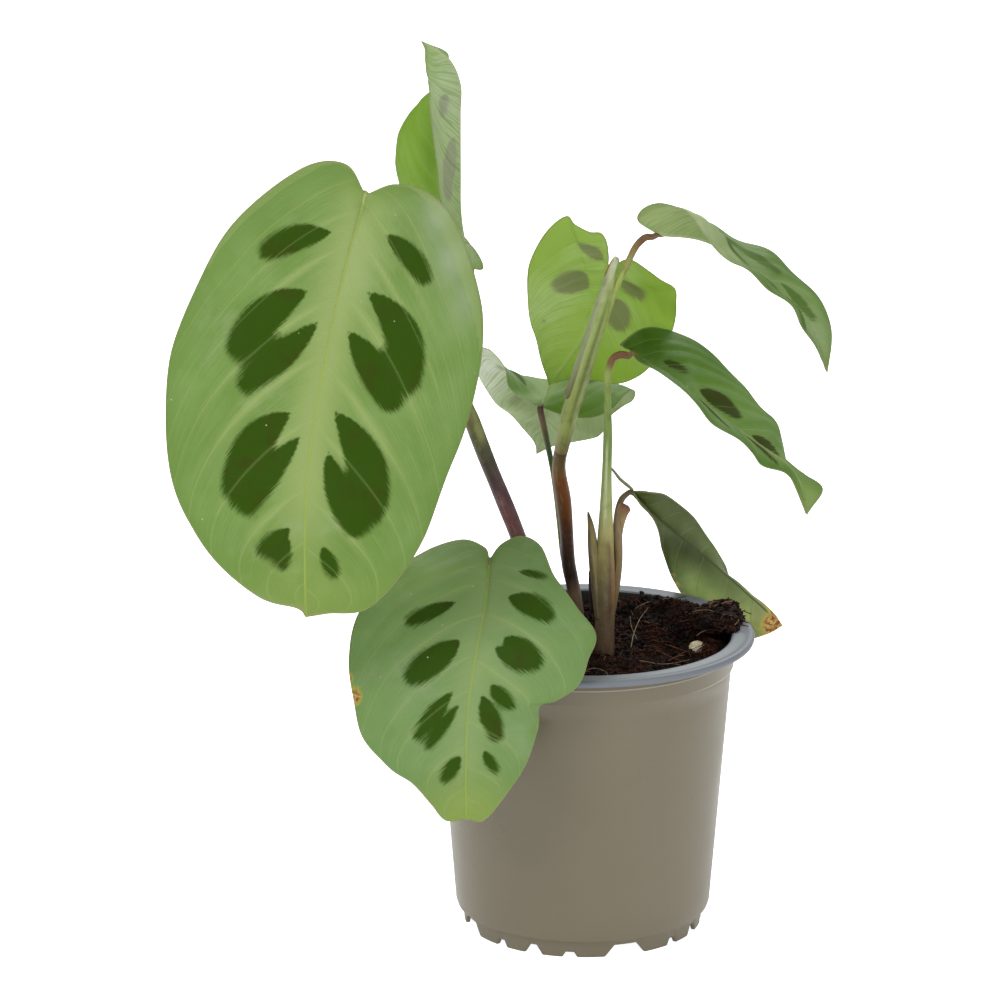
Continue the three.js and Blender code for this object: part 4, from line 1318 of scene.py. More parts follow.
@dataclass
class Stem:
    """A stem along a route of (x, y, z, radius), coloured by its stops and stripes."""

    name: str
    nodes: tuple[str, ...]
    route: Points
    stops: Stops
    slot: str = "petiole"
    stripes: list[Stripe] = field(default_factory=list)
    joins: str = ""
    sides: int = 20
    flutes: float = 5.0
    depth: float = 0.025
    step: float = 0.9

    def build(self, sweep: StemSweep, skin: Material, blades: dict[str, Leaf]) -> Object:
        """Sweeps the stem and writes its colours.

        Args:
            sweep: The geometry nodes for stems.
            skin: The material.
            blades: The leaves by name; the stem's end runs under the one it carries.

        Returns:
            The finished mesh object.
        """
        points = [np.array(point, float) for point in self.route]
        if self.joins:
            leaf = blades[self.joins]
            point, forward, up, _ = leaf.frames(np.array([0.6, 3.2]))
            points.append(np.append(point[0] - up[0] * 0.55, 0.95))
            points.append(np.append(point[1] + forward[1] - up[1] * 0.45, 0.45))
        rows = np.array(points)
        gaps = np.linalg.norm(np.diff(rows[:, :3], axis=0), axis=1)
        length = gaps.sum()
        count = max(8, int(length / self.step))
        knots = np.concatenate([[0], np.cumsum(gaps)])
        evenly = np.interp(np.linspace(0, knots[-1], count + 1), knots,
                           np.linspace(0, 1, len(rows)))
        swept = along_points(rows, evenly)
        swept[:, 3] = np.maximum(swept[:, 3], 0.12)
        seed = sum(map(ord, self.name))
        order = np.arange(count + 1)
        wobble = np.array([noise.noise(Vector((0.09 * k * self.step, seed, 0))) for k in order])
        radii = swept[:, 3] * (1 + 0.05 * wobble)
        ends = np.minimum(order, order[::-1])
        radii = radii * np.where(ends == 0, 0.45, np.where(ends == 1, 0.85, 1.0))
        piece = sweep.run(self.name, swept[:, :3], radii, self.sides, self.flutes, self.depth, skin)
        self._tint(piece, count + 1, length)
        return piece

    def _tint(self, piece: Object, rings: int, length: float) -> None:
        """Writes the colour and the run of each point, ring by ring.

        Args:
            piece: The swept stem.
            rings: How many rings of points it has.
            length: Its length in millimetres.
        """
        total = len(piece.data.vertices)
        ring = np.minimum(np.arange(total) // self.sides, rings - 1)
        share = ring / (rings - 1)
        place = np.empty(total * 3)
        piece.data.vertices.foreach_get("co", place)
        place = place.reshape(-1, 3) / MM - POT_AXIS
        centre = np.stack([np.bincount(ring, place[:, k], rings) / np.bincount(ring, None, rings)
                           for k in range(3)], -1)
        offset = place - centre[ring]
        angle = np.degrees(np.arctan2(offset[:, 1], offset[:, 0]))
        tint = blend_stops(self.stops, share)
        for stripe in self.stripes:
            turn = np.abs((angle - stripe.angle + 180) % 360 - 180)
            weight = 1 - smooth_step(0.5 * stripe.half_width, 1.3 * stripe.half_width, turn)
            fade = 0.25 * (stripe.end - stripe.start)
            weight = weight * smooth_step(stripe.start, stripe.start + fade, share)
            weight = weight * (1 - smooth_step(stripe.end - fade, stripe.end, share))
            weight = (weight * stripe.strength)[:, None]
            tint = tint * (1 - weight) + np.array(colour(stripe.code)) * weight
        write_attribute(piece, "tint", "FLOAT_COLOR", tint)
        corner = (np.arange(total) % self.sides) / self.sides
        round_way = np.minimum(corner, 1 - corner) * 2
        write_attribute(piece, "run", "FLOAT_VECTOR",
                        np.stack([round_way, share * length, share * 0], -1))


def stems() -> Iterator[Stem]:
    """Every cane, petiole and sheath end, by shoot."""
    yield Stem(
        "shoot_left", ("cane_left", "petiole_3"),
        route=[(-12.5, 12, 84, 3), (-12.5, 12, 97, 3), (-14.3, 10, 110.3, 3),
            (-18.6, 5, 125.3, 2.8), (-23.4, 0, 141.3, 2.8), (-28.3, -4, 155.1, 2.8),
            (-33.9, -8, 170.2, 2.7), (-38.6, -11, 183.8, 2.8), (-41.9, -13, 193.9, 2.2),
            (-42.9, -13, 203, 1.8), (-42.2, -12, 215, 1.6), (-40.8, -11, 228, 1.5),
            (-39.5, -10, 238, 1.3)],
        stops=[(0.0, 0x4A2C22), (0.24, 0x5E4034), (0.38, 0x6A4440), (0.47, 0x4E2E36),
            (0.54, 0x42382A), (0.60, 0x545430), (0.68, 0x646832), (0.8, 0x86903F),
            (0.93, 0x93A052), (1.0, 0x9A8A4C)], stripes=[Stripe(0.58, 0.76, -60, 34, 0x848A4C),
            Stripe(0.3, 0.5, -100, 30, 0x7A4E4E)], joins="leaf_top_young")
    yield Stem(
        "branch_left", ("petiole_1",),
        route=[(-39.6, -14, 183, 1.5), (-40.9, -17.2, 189, 1.6), (-47.6, -22, 206, 1.6),
            (-57.2, -31, 233, 1.5), (-66.3, -41, 257, 1.4), (-73.8, -50.8, 272.4, 1.2)],
        stops=[(0.0, 0x6C5E3C), (0.15, 0x7F8344), (0.6, 0x8E9C50), (0.86, 0x96A455),
            (0.95, 0x98A65C), (1.0, 0xA2B068)], joins="leaf_left_large")
    yield Stem(
        "branch_front", ("petiole_2",),
        route=[(-18.5, 7.5, 84, 1.7), (-18.5, 7.5, 96, 1.7), (-20.5, 2, 112, 1.6),
            (-25, -8, 126, 1.5), (-33, -24.4, 138.8, 1.2)],
        stops=[(0.0, 0x4A2C22), (0.3, 0x5E3C30), (0.55, 0x7F8344), (0.9, 0x94A052),
            (1.0, 0x8A7A4A)], joins="leaf_front_hanging")
    yield Stem(
        "shoot_middle", ("cane_middle", "petiole_5"),
        route=[(-1.5, 35, 86, 2.6), (-1.5, 35, 97, 2.6), (-2.6, 34.2, 109, 2.4),
            (-5, 31.5, 122, 2.5), (-5.8, 28.6, 134, 2.4), (-7, 25.4, 147, 2.8),
            (-8.7, 22, 160, 2.4), (-6.9, 19.2, 171, 2.5), (-3.2, 16, 184.2, 2.2),
            (0.6, 12.9, 195, 1.5), (3.4, 10, 206, 1.25), (7, 7, 217, 1.15), (10.4, 5, 228, 1.15),
            (14.4, 3, 237.5, 1.1), (17.2, 1.4, 243.8, 1.2), (20.4, 0.2, 247.4, 1.25),
            (23.1, 0, 247.7, 1.1)],
        stops=[(0.0, 0x4A3A2C), (0.09, 0x6A5640), (0.14, 0x86705A), (0.18, 0x3C2E22),
            (0.27, 0x5A3C2E), (0.33, 0x6C4426), (0.40, 0x7C4E24), (0.44, 0x6A5A30),
            (0.47, 0x5C3A2C), (0.52, 0x7E7A48), (0.60, 0x848C48), (0.75, 0x95A352),
            (0.86, 0x9EAE58), (0.92, 0x8A7444), (0.95, 0x6E4C2E), (1.0, 0x785C34)],
        stripes=[Stripe(0.28, 0.42, -60, 34, 0x8A4E1E), Stripe(0.12, 0.3, -150, 30, 0x2E181C),
            Stripe(0.45, 0.60, -160, 34, 0x4A3A2A)], joins="leaf_right_upper")
    yield Stem(
        "branch_middle", ("petiole_4",),
        route=[(-6.2, 14, 187, 1.3), (-2.6, 11.2, 198, 1.5), (0.8, 8.4, 209, 1.5),
            (4.1, 6.2, 220, 1.5), (7.4, 4.6, 230, 1.5), (9.8, 4.4, 236.4, 1.3),
            (10.6, 5.6, 238.4, 1.2), (9.6, 8.2, 236.6, 1.15), (8.3, 10, 233.5, 1)],
        stops=[(0.0, 0x6E6A44), (0.2, 0x8A9160), (0.5, 0xA2AC7C), (0.72, 0xB2B990),
            (0.80, 0xBFC3A4), (0.86, 0xA6683C), (0.94, 0x9C5A34), (1.0, 0xA06A3C)],
        stripes=[Stripe(0.05, 0.8, -150, 50, 0x8C9470), Stripe(0.1, 0.8, -40, 26, 0xC2C8A0)],
        joins="leaf_middle_backlit")
    yield Stem(
        "branch_back", ("petiole_8",),
        route=[(-6.6, 32.8, 122, 1), (-7.3, 34.8, 126.5, 1), (-8.4, 33.4, 137.3, 0.95),
            (-10, 32.2, 151.1, 0.95), (-11.4, 31.2, 160, 1), (-13.2, 30.4, 169, 1.1),
            (-15.2, 29.8, 178.7, 1.2)],
        stops=[(0.0, 0x6E8436), (0.4, 0x6F8E36), (0.62, 0x3E5A28), (0.75, 0x4A5A2C),
            (0.84, 0x6E5A34), (0.93, 0x4E3326), (1.0, 0x5A3A2A)], joins="leaf_back_cupped",
        sides=14)
    yield Stem(
        "shoot_right", ("cane_right", "petiole_6"),
        route=[(7.3, 2, 84, 3.5), (7.3, 2, 96, 3.5), (7.3, 1.8, 108, 3.4), (7.3, 1, 120, 3.8),
            (7.3, 0.4, 132, 3.3), (7.4, 0, 146.4, 2.5), (7.6, -1, 161.5, 1.8), (7.9, -1, 176, 1.6),
            (7.8, -2, 190.4, 1.2), (7.8, -2, 199.4, 1.15), (9.4, -2, 204.9, 1.3),
            (12.2, -2.6, 206.7, 1.35), (15, -3, 206.4, 1.2)],
        stops=[(0.0, 0x3E2620), (0.12, 0x6A5442), (0.2, 0x7E6A50), (0.27, 0x74664A),
            (0.36, 0x968C58), (0.44, 0xAEA666), (0.52, 0xA2AC66), (0.66, 0x728C3E),
            (0.8, 0x7E9646), (0.875, 0x96A456), (0.90, 0x7A5836), (0.95, 0x6E4A2A),
            (1.0, 0x7C6438)], stripes=[Stripe(0.16, 0.45, -62, 14, 0x5E4A30),
            # The pale stripe at -95 degrees, facing the front, is a painted highlight.
            Stripe(0.36, 0.86, -165, 30, 0x7E8660), Stripe(0.42, 0.72, -95, 16, 0xCCD2A6, 0.75),
            Stripe(0.2, 0.42, -35, 22, 0x8E6A3A)], joins="leaf_right_lower", sides=24)
    yield Stem(
        "branch_dried", ("petiole_7",), slot="dry_sheath",
        route=[(9.6, 0.8, 112, 1.3), (11.2, 1.4, 122, 1.3), (12.1, 2.2, 131, 1.3),
            (11.8, 2.8, 139, 1.5), (11.6, 4, 146, 1.4), (12.8, 7.4, 151.6, 1.1),
            (15.8, 12.2, 153.4, 0.9)],
        stops=[(0.0, 0x6E5A3C), (0.3, 0x8A7450), (0.6, 0x928060), (0.85, 0x665438),
            (1.0, 0x5E5A34)], joins="leaf_right_folded", sides=14, depth=0.09)
    yield Stem(
        "sheath_point", ("sheath_tip",), slot="dry_sheath",
        route=[(5.4, 0, 110, 1.4), (4.6, -0.2, 120, 1.8), (3.7, 0, 130, 1.9), (3, 0.3, 138, 1.7),
            (2.3, 0.5, 144.4, 1.15), (1.2, 0.6, 149.8, 0.3)],
        stops=[(0.0, 0x6A5E42), (0.4, 0x8A7E52), (0.7, 0x9A8C5C), (0.87, 0x83754C),
            (1.0, 0x4A3A2A)], stripes=[Stripe(0.1, 0.95, -150, 40, 0x5E4A38)], sides=18,
        depth=0.08, step=0.6)
    yield Stem(
        "sheath_bud", ("sheath_small",), slot="cane",
        route=[(2.9, 4, 112, 0.8), (2.5, 3.6, 119, 0.8), (1.9, 3.2, 127.4, 0.35)],
        stops=[(0.0, 0x3C2A26), (0.6, 0x33272A), (1.0, 0x2A2226)], sides=12, step=0.6)
    yield Stem(
        "sheath_withered", ("sheath_dry",), slot="dry_sheath",
        route=[(10.2, 2.5, 114, 1.1), (10.9, 3, 126, 1.2), (11.6, 3.6, 136, 1.4),
            (12.2, 4.4, 143, 1.7), (13.2, 5.4, 147.8, 2.2), (14.6, 6.4, 150.6, 2.5)],
        stops=[(0.0, 0x5E4C34), (0.35, 0x76623E), (0.62, 0x94794C), (0.85, 0xA88E60),
            (0.95, 0x8A6248), (1.0, 0x4E3830)], sides=22, depth=0.2, flutes=4.0, step=0.5)
    yield Stem(
        "sheath_clasping", (),
        route=[(-8.2, 20.6, 165, 2.45), (-6.4, 17.8, 174.5, 2.7), (-4.2, 15.4, 184.5, 2.8),
            (-1, 12.2, 196, 2.75), (2.1, 9.2, 207.5, 2.7), (5.2, 6.8, 218, 2.4),
            (7.6, 5.2, 226.5, 2.0), (9.3, 4.6, 234, 1.5), (10.4, 4.2, 240, 0.5)],
        stops=[(0.0, 0x7A6A48), (0.15, 0x9AA858), (0.4, 0x98A854), (0.75, 0x93A552),
            (0.93, 0xA2AE74), (1.0, 0xC0C4A8)],
        stripes=[Stripe(0.05, 0.98, -165, 44, 0x84905C, 0.5), Stripe(0.1, 0.9, -75, 16, 0x6E7A44),
            Stripe(0.3, 0.98, -120, 12, 0xB2BC8C, 0.6)], sides=28, flutes=9.0, depth=0.035)
    yield Stem(
        "sheath_thread", ("sheath_strip",), slot="dry_sheath",
        route=[(9, -0.6, 166, 0.4), (10.6, 1, 163.6, 0.5), (12.6, 4.6, 160.2, 0.6),
            (15.6, 9.6, 156.4, 0.6), (17.4, 12.4, 154.2, 0.4)],
        stops=[(0.0, 0x767A54), (0.5, 0x8A8E68), (1.0, 0x72724E)], sides=10, step=0.6)


# ---- Pot ----


@dataclass
class NurseryPot:
    """Thin tapered pot with a flat rim, a ridge and a foot ring cut into teeth."""

    height: float = 106.4
    rim_radius: float = 60.0
    rim_drop: float = 2.6
    wall: float = 1.1
    wall_top: float = 52.8
    step_height: float = 95.4
    step_depth: float = 0.5
    line_height: float = 100.6
    ridge_radius: float = 44.8
    ridge_height: float = 6.8
    foot_radius: float = 42.2
    floor_height: float = 7.4
    floor_thickness: float = 1.4
    columns: int = 720
    teeth_top: float = 5.6
    quarter_start: float = 20.0
    notches: tuple[tuple[float, float, float, float], ...] = (
        (0, 15, 8.3, 4.1), (27, 4.6, 2.4, 2.4), (45, 6.8, 2.4, 3.4), (63, 5.3, 2.9, 1.9))

    def section(self) -> list[tuple[float, float, int]]:
        """Radius, height and finish (0 wall, 1 rim, 2 inside) round the section."""
        top, rim, foot, wall = self.height, self.rim_radius, self.foot_radius, self.wall_top
        inner = wall - self.wall
        under = top - self.rim_drop
        floor = self.floor_height - self.floor_thickness
        ridge, ridge_z, step = self.ridge_radius, self.ridge_height, self.step_height
        corner: list[tuple[float, float, int]] = [
            (0.0, floor, 1), (20.0, floor, 1), (foot - 2.2, floor, 1), (foot - 1.6, floor - 0.3, 1),
            (foot - 1.5, 4.2, 1), (foot - 1.45, 2.0, 1), (foot - 1.4, 0.25, 1),
            (foot - 1.25, 0.03, 0), (foot - 0.7, 0.0, 0), (foot - 0.15, 0.03, 0), (foot, 0.25, 0),
            (foot + 0.15, 2.0, 0), (foot + 0.35, 4.2, 0), (foot + 0.55, ridge_z - 0.95, 0),
            (foot + 1.2, ridge_z - 0.55, 0), (ridge - 0.15, ridge_z - 0.1, 0),
            (ridge, ridge_z + 0.35, 0), (ridge + 0.4, ridge_z + 1.6, 0)]
        low, high = ridge_z + 1.6, step - 0.6
        for share in np.linspace(0.08, 1.0, 14):
            radius = ridge + 0.4 + (wall - self.step_depth - 0.3 - ridge - 0.4) * share
            corner.append((float(radius), float(low + (high - low) * share), 0))
        line = self.line_height
        return corner + [
            (wall - 0.1, step - 0.2, 0), (wall, step + 0.1, 0), (wall + 0.08, line - 0.35, 0),
            (wall + 0.24, line, 0), (wall + 0.08, line + 0.35, 0), (wall + 0.12, under - 0.8, 0),
            (wall + 0.35, under - 0.2, 0), (wall + 1.1, under, 1), (rim - 2.4, under, 1),
            (rim - 0.9, under + 0.05, 1), (rim - 0.25, under + 0.4, 1), (rim, under + 1.0, 1),
            (rim - 0.05, top - 0.75, 1), (rim - 0.45, top - 0.22, 1), (rim - 1.1, top, 1),
            (rim - 1.9, top - 0.06, 1), (rim - 2.8, top - 0.35, 1), (rim - 3.6, top - 0.5, 1),
            (rim - 4.6, top - 0.42, 1), (inner + 2.6, top - 0.22, 1), (inner + 1.7, top - 0.05, 1),
            (inner + 1.0, top - 0.12, 1), (inner + 0.35, top - 0.6, 2), (inner, top - 1.6, 2),
            (inner, step, 2), (inner - 0.7, step - 2, 2), (ridge - 1.8, self.floor_height + 0.2, 2),
            (ridge - 4.0, self.floor_height, 2), (18.0, self.floor_height, 2),
            (0.0, self.floor_height, 2)]

    def notch_height(self, angle: Rows) -> Rows:
        """How high the foot ring is cut at each angle, in degrees from the front.

        Args:
            angle: The angles.

        Returns:
            The heights in millimetres.
        """
        cut = np.zeros(angle.shape)
        for quarter in range(4):
            for turn, bottom, top, height in self.notches:
                centre = self.quarter_start + 90 * quarter + turn
                away = np.abs((angle - centre + 180) % 360 - 180)
                away = np.radians(away) * self.foot_radius
                rise = np.clip((bottom / 2 - away) / ((bottom - top) / 2), 0, 1)
                cut = np.maximum(cut, height * rise)
        return cut

    def build(self) -> Object:
        """Turns the section round the axis and cuts the teeth of the foot ring."""
        section = self.section()
        angle = np.arange(self.columns) * 360 / self.columns
        cut = self.notch_height(angle)
        turn = np.radians(angle)
        points = []
        starts = []
        for place, (radius, z, _) in enumerate(section):
            starts.append(len(points))
            if radius == 0:
                points.append((0.0, 0.0, z))
                continue
            heights = np.full(self.columns, z)
            if 4 <= place <= 12:
                heights = np.maximum(z, cut + z * (self.teeth_top - cut) / self.teeth_top)
            points += list(zip(radius * np.sin(turn), -radius * np.cos(turn), heights))
        faces, kinds = self._faces(section, starts)
        piece = make_mesh("pot_shell", np.array(points, float), faces)
        piece.data.polygons.foreach_set("material_index", kinds)
        self._add_nub(piece)
        return piece

    def _faces(self, section: list[tuple[float, float, int]],
               starts: list[int]) -> tuple[list[tuple[int, ...]], list[int]]:
        """Faces round the section, with the finish of each.

        Args:
            section: Radius, height and finish of each corner.
            starts: Number of each corner's first point.

        Returns:
            Corner indices and finishes.
        """
        faces = []
        kinds = []
        for place in range(len(section) - 1):
            here, there = starts[place], starts[place + 1]
            kind = min(section[place][2], section[place + 1][2])
            for column in range(self.columns):
                after = (column + 1) % self.columns
                if section[place][0] == 0:
                    face = (here, there + after, there + column)
                elif section[place + 1][0] == 0:
                    face = (here + column, here + after, there)
                else:
                    face = (here + column, here + after, there + after, there + column)
                faces.append(face)
                kinds.append(kind)
        return faces, kinds

    def _add_nub(self, piece: Object) -> None:
        """Presses a small dip into the top of the rim at its back."""
        nub = Vector((-3.0, self.rim_radius - 3.4, self.height - 0.4)) + Vector(POT_AXIS)
        for vertex in piece.data.vertices:
            away = (vertex.co / MM - nub).length
            if away < 1.6:
                vertex.co.z -= 0.35 * MM * (1 - (away / 1.6) ** 2)

    def dress(self, piece: Object, groups: SharedGroups) -> None:
        """Taupe wall with painted highlights, grey-blue rim and an inside painted dark as shade."""
        # The bands at the ridge and at the step are painted highlights.
        highlights = ((self.line_height, -200.0), (self.step_height, 34.0))
        for plastic in (NurseryPlastic("taupe_plastic", 0x746C58, 0x7D7561, 0.30, highlights),
                        NurseryPlastic("slate_plastic", 0x70767D, 0x828991, 0.5),
                        # The inside is painted near black as the shade within the pot.
                        NurseryPlastic("inside_painted_shade", 0x10100E, 0x1A1A18, 0.65)):
            piece.data.materials.append(plastic.material(groups))


# ---- Soil ----


def soil_height(x: float, y: float) -> float:
    """Height of the potting mix: gentle lumps and three rises, as the solid has them.

    Args:
        x: Place across in millimetres.
        y: Place in depth.

    Returns:
        The height in millimetres.
    """
    lumps = (math.sin(0.31 * x + 0.9) * math.cos(0.27 * y - 0.4)
             + 0.6 * math.sin(0.53 * x - 0.38 * y + 2) + 0.4 * math.cos(0.71 * y + 0.23 * x))
    back_rise = (4.2 * math.exp(-((x + 12) ** 2 + (y - 40) ** 2) / 260)
                 + 5.5 * math.exp(-((x - 28) ** 2 + (y - 36) ** 2) / 300))
    clump_rise = 6.6 * math.exp(-((x - 44) ** 2 + (y - 19) ** 2) / 170)
    return SOIL_LEVEL + 0.78 * lumps + back_rise + clump_rise


class SoilScatter:
    """Geometry nodes that strew crumbs or bent fibres over a surface."""

    def __init__(self) -> None:
        """Builds both trees once."""
        self.crumbs = self._crumb_tree()
        self.fibres = self._fibre_tree()

    @staticmethod
    def _random(w: Wiring, kind: str, low: object, high: object, seed: int) -> NodeSocket:
        """Random number or vector for each point."""
        first, output = (0, 0) if kind == "FLOAT_VECTOR" else (2, 1)
        return w.add("FunctionNodeRandomValue", {first: low, first + 1: high, 8: seed},
                     data_type=kind).outputs[output]

    @staticmethod
    def _scaled(w: Wiring, vector: object, size: object) -> NodeSocket:
        """A vector times a number."""
        return w.add("ShaderNodeVectorMath", {0: vector, "Scale": size},
                     operation="SCALE").outputs[0]

    @staticmethod
    def _strewn(w: Wiring, given: NodeOutputs, bit: NodeSocket,
                turn: object, size: object) -> NodeSocket:
        """Copies of a bit at random points of the ground, made real.

        Args:
            w: The tree's wiring.
            given: The group's inputs.
            bit: What is strewn.
            turn: Rotation of each.
            size: Scale of each.

        Returns:
            The geometry.
        """
        spread = w.add("GeometryNodeDistributePointsOnFaces", {
            "Mesh": given["Ground"], "Density": given["Density"], "Seed": given["Seed"]})
        placed = w.add("GeometryNodeInstanceOnPoints", {
            "Points": spread.outputs["Points"], "Instance": bit, "Rotation": turn, "Scale": size})
        return w.add("GeometryNodeRealizeInstances", {0: placed.outputs[0]}).outputs[0]

    def _shaken(self, w: Wiring, geometry: NodeSocket, scale: float, amount: object) -> NodeSocket:
        """Points moved by a noise, so that no two bits are alike.

        Args:
            w: The tree's wiring.
            geometry: What is moved.
            scale: The noise's scale.
            amount: How far, in metres.

        Returns:
            The moved geometry.
        """
        texture = w.add("ShaderNodeTexNoise", {
            "Vector": w.add("GeometryNodeInputPosition").outputs[0], "Scale": scale,
            "Detail": 1.0}, noise_dimensions="3D")
        centred = w.add("ShaderNodeVectorMath", {0: texture.outputs["Color"], 1: (0.5, 0.5, 0.5)},
                        operation="SUBTRACT")
        return w.add("GeometryNodeSetPosition", {
            "Geometry": geometry,
            "Offset": self._scaled(w, centred.outputs[0], amount)}).outputs[0]

    def _crumb_tree(self) -> NodeTree:
        """Lumpy crumbs of random size and turn."""
        tree, w, given = new_group("soil_crumbs", "GeometryNodeTree", {
            "Ground": "Geometry", "Density": 2e5, "Seed": 1,
            "Smallest": 0.0004, "Largest": 0.0014,
            "Finish": "Material"}, {"Bits": "Geometry"})
        crumb = w.add("GeometryNodeMeshIcoSphere", {"Radius": 1.0, "Subdivisions": 2})
        size = self._random(w, "FLOAT", given["Smallest"], given["Largest"], 3)
        flat = self._random(w, "FLOAT_VECTOR", (0.5, 0.5, 0.4), (1.3, 1.3, 0.9), 4)
        turn = self._random(w, "FLOAT_VECTOR", (0.0, 0.0, 0.0), (6.28, 6.28, 6.28), 5)
        strewn = self._strewn(w, given, crumb.outputs["Mesh"], turn, self._scaled(w, flat, size))
        shaken = self._shaken(w, strewn, 900.0, w.times(given["Largest"], 1.1))
        end_tree(w, "Bits", shaken, given["Finish"])
        return tree

    def _fibre_tree(self) -> NodeTree:
        """Thin bent fibres that lie on the ground at random."""
        tree, w, given = new_group("soil_fibres", "GeometryNodeTree", {
            "Ground": "Geometry", "Density": 5e4, "Seed": 1,
            "Shortest": 0.004, "Longest": 0.014,
            "Radius": 0.00012, "Tilt": 0.35, "Bend": 0.003,
            "Finish": "Material"}, {"Bits": "Geometry"})
        arc = w.add("GeometryNodeCurveQuadraticBezier", {
            "Resolution": 9, "Start": (-0.5, 0.0, 0.0), "Middle": (0.0, 0.25, 0.12),
            "End": (0.5, 0.0, 0.0)})
        down = w.times(given["Tilt"], -1.0)
        turn = self._random(w, "FLOAT_VECTOR", w.vector(down, down, 0.0),
                            w.vector(given["Tilt"], given["Tilt"], 6.28), 6)
        size = self._random(w, "FLOAT", given["Shortest"], given["Longest"], 7)
        bent = self._shaken(w, self._strewn(w, given, arc.outputs[0], turn, size), 130.0,
                            given["Bend"])
        ring = w.add("GeometryNodeCurvePrimitiveCircle", {"Resolution": 4,
                                                          "Radius": given["Radius"]})
        swept = w.add("GeometryNodeCurveToMesh", {
            "Curve": bent, "Profile Curve": ring.outputs["Curve"], "Fill Caps": True})
        end_tree(w, "Bits", swept.outputs[0], given["Finish"])
        return tree


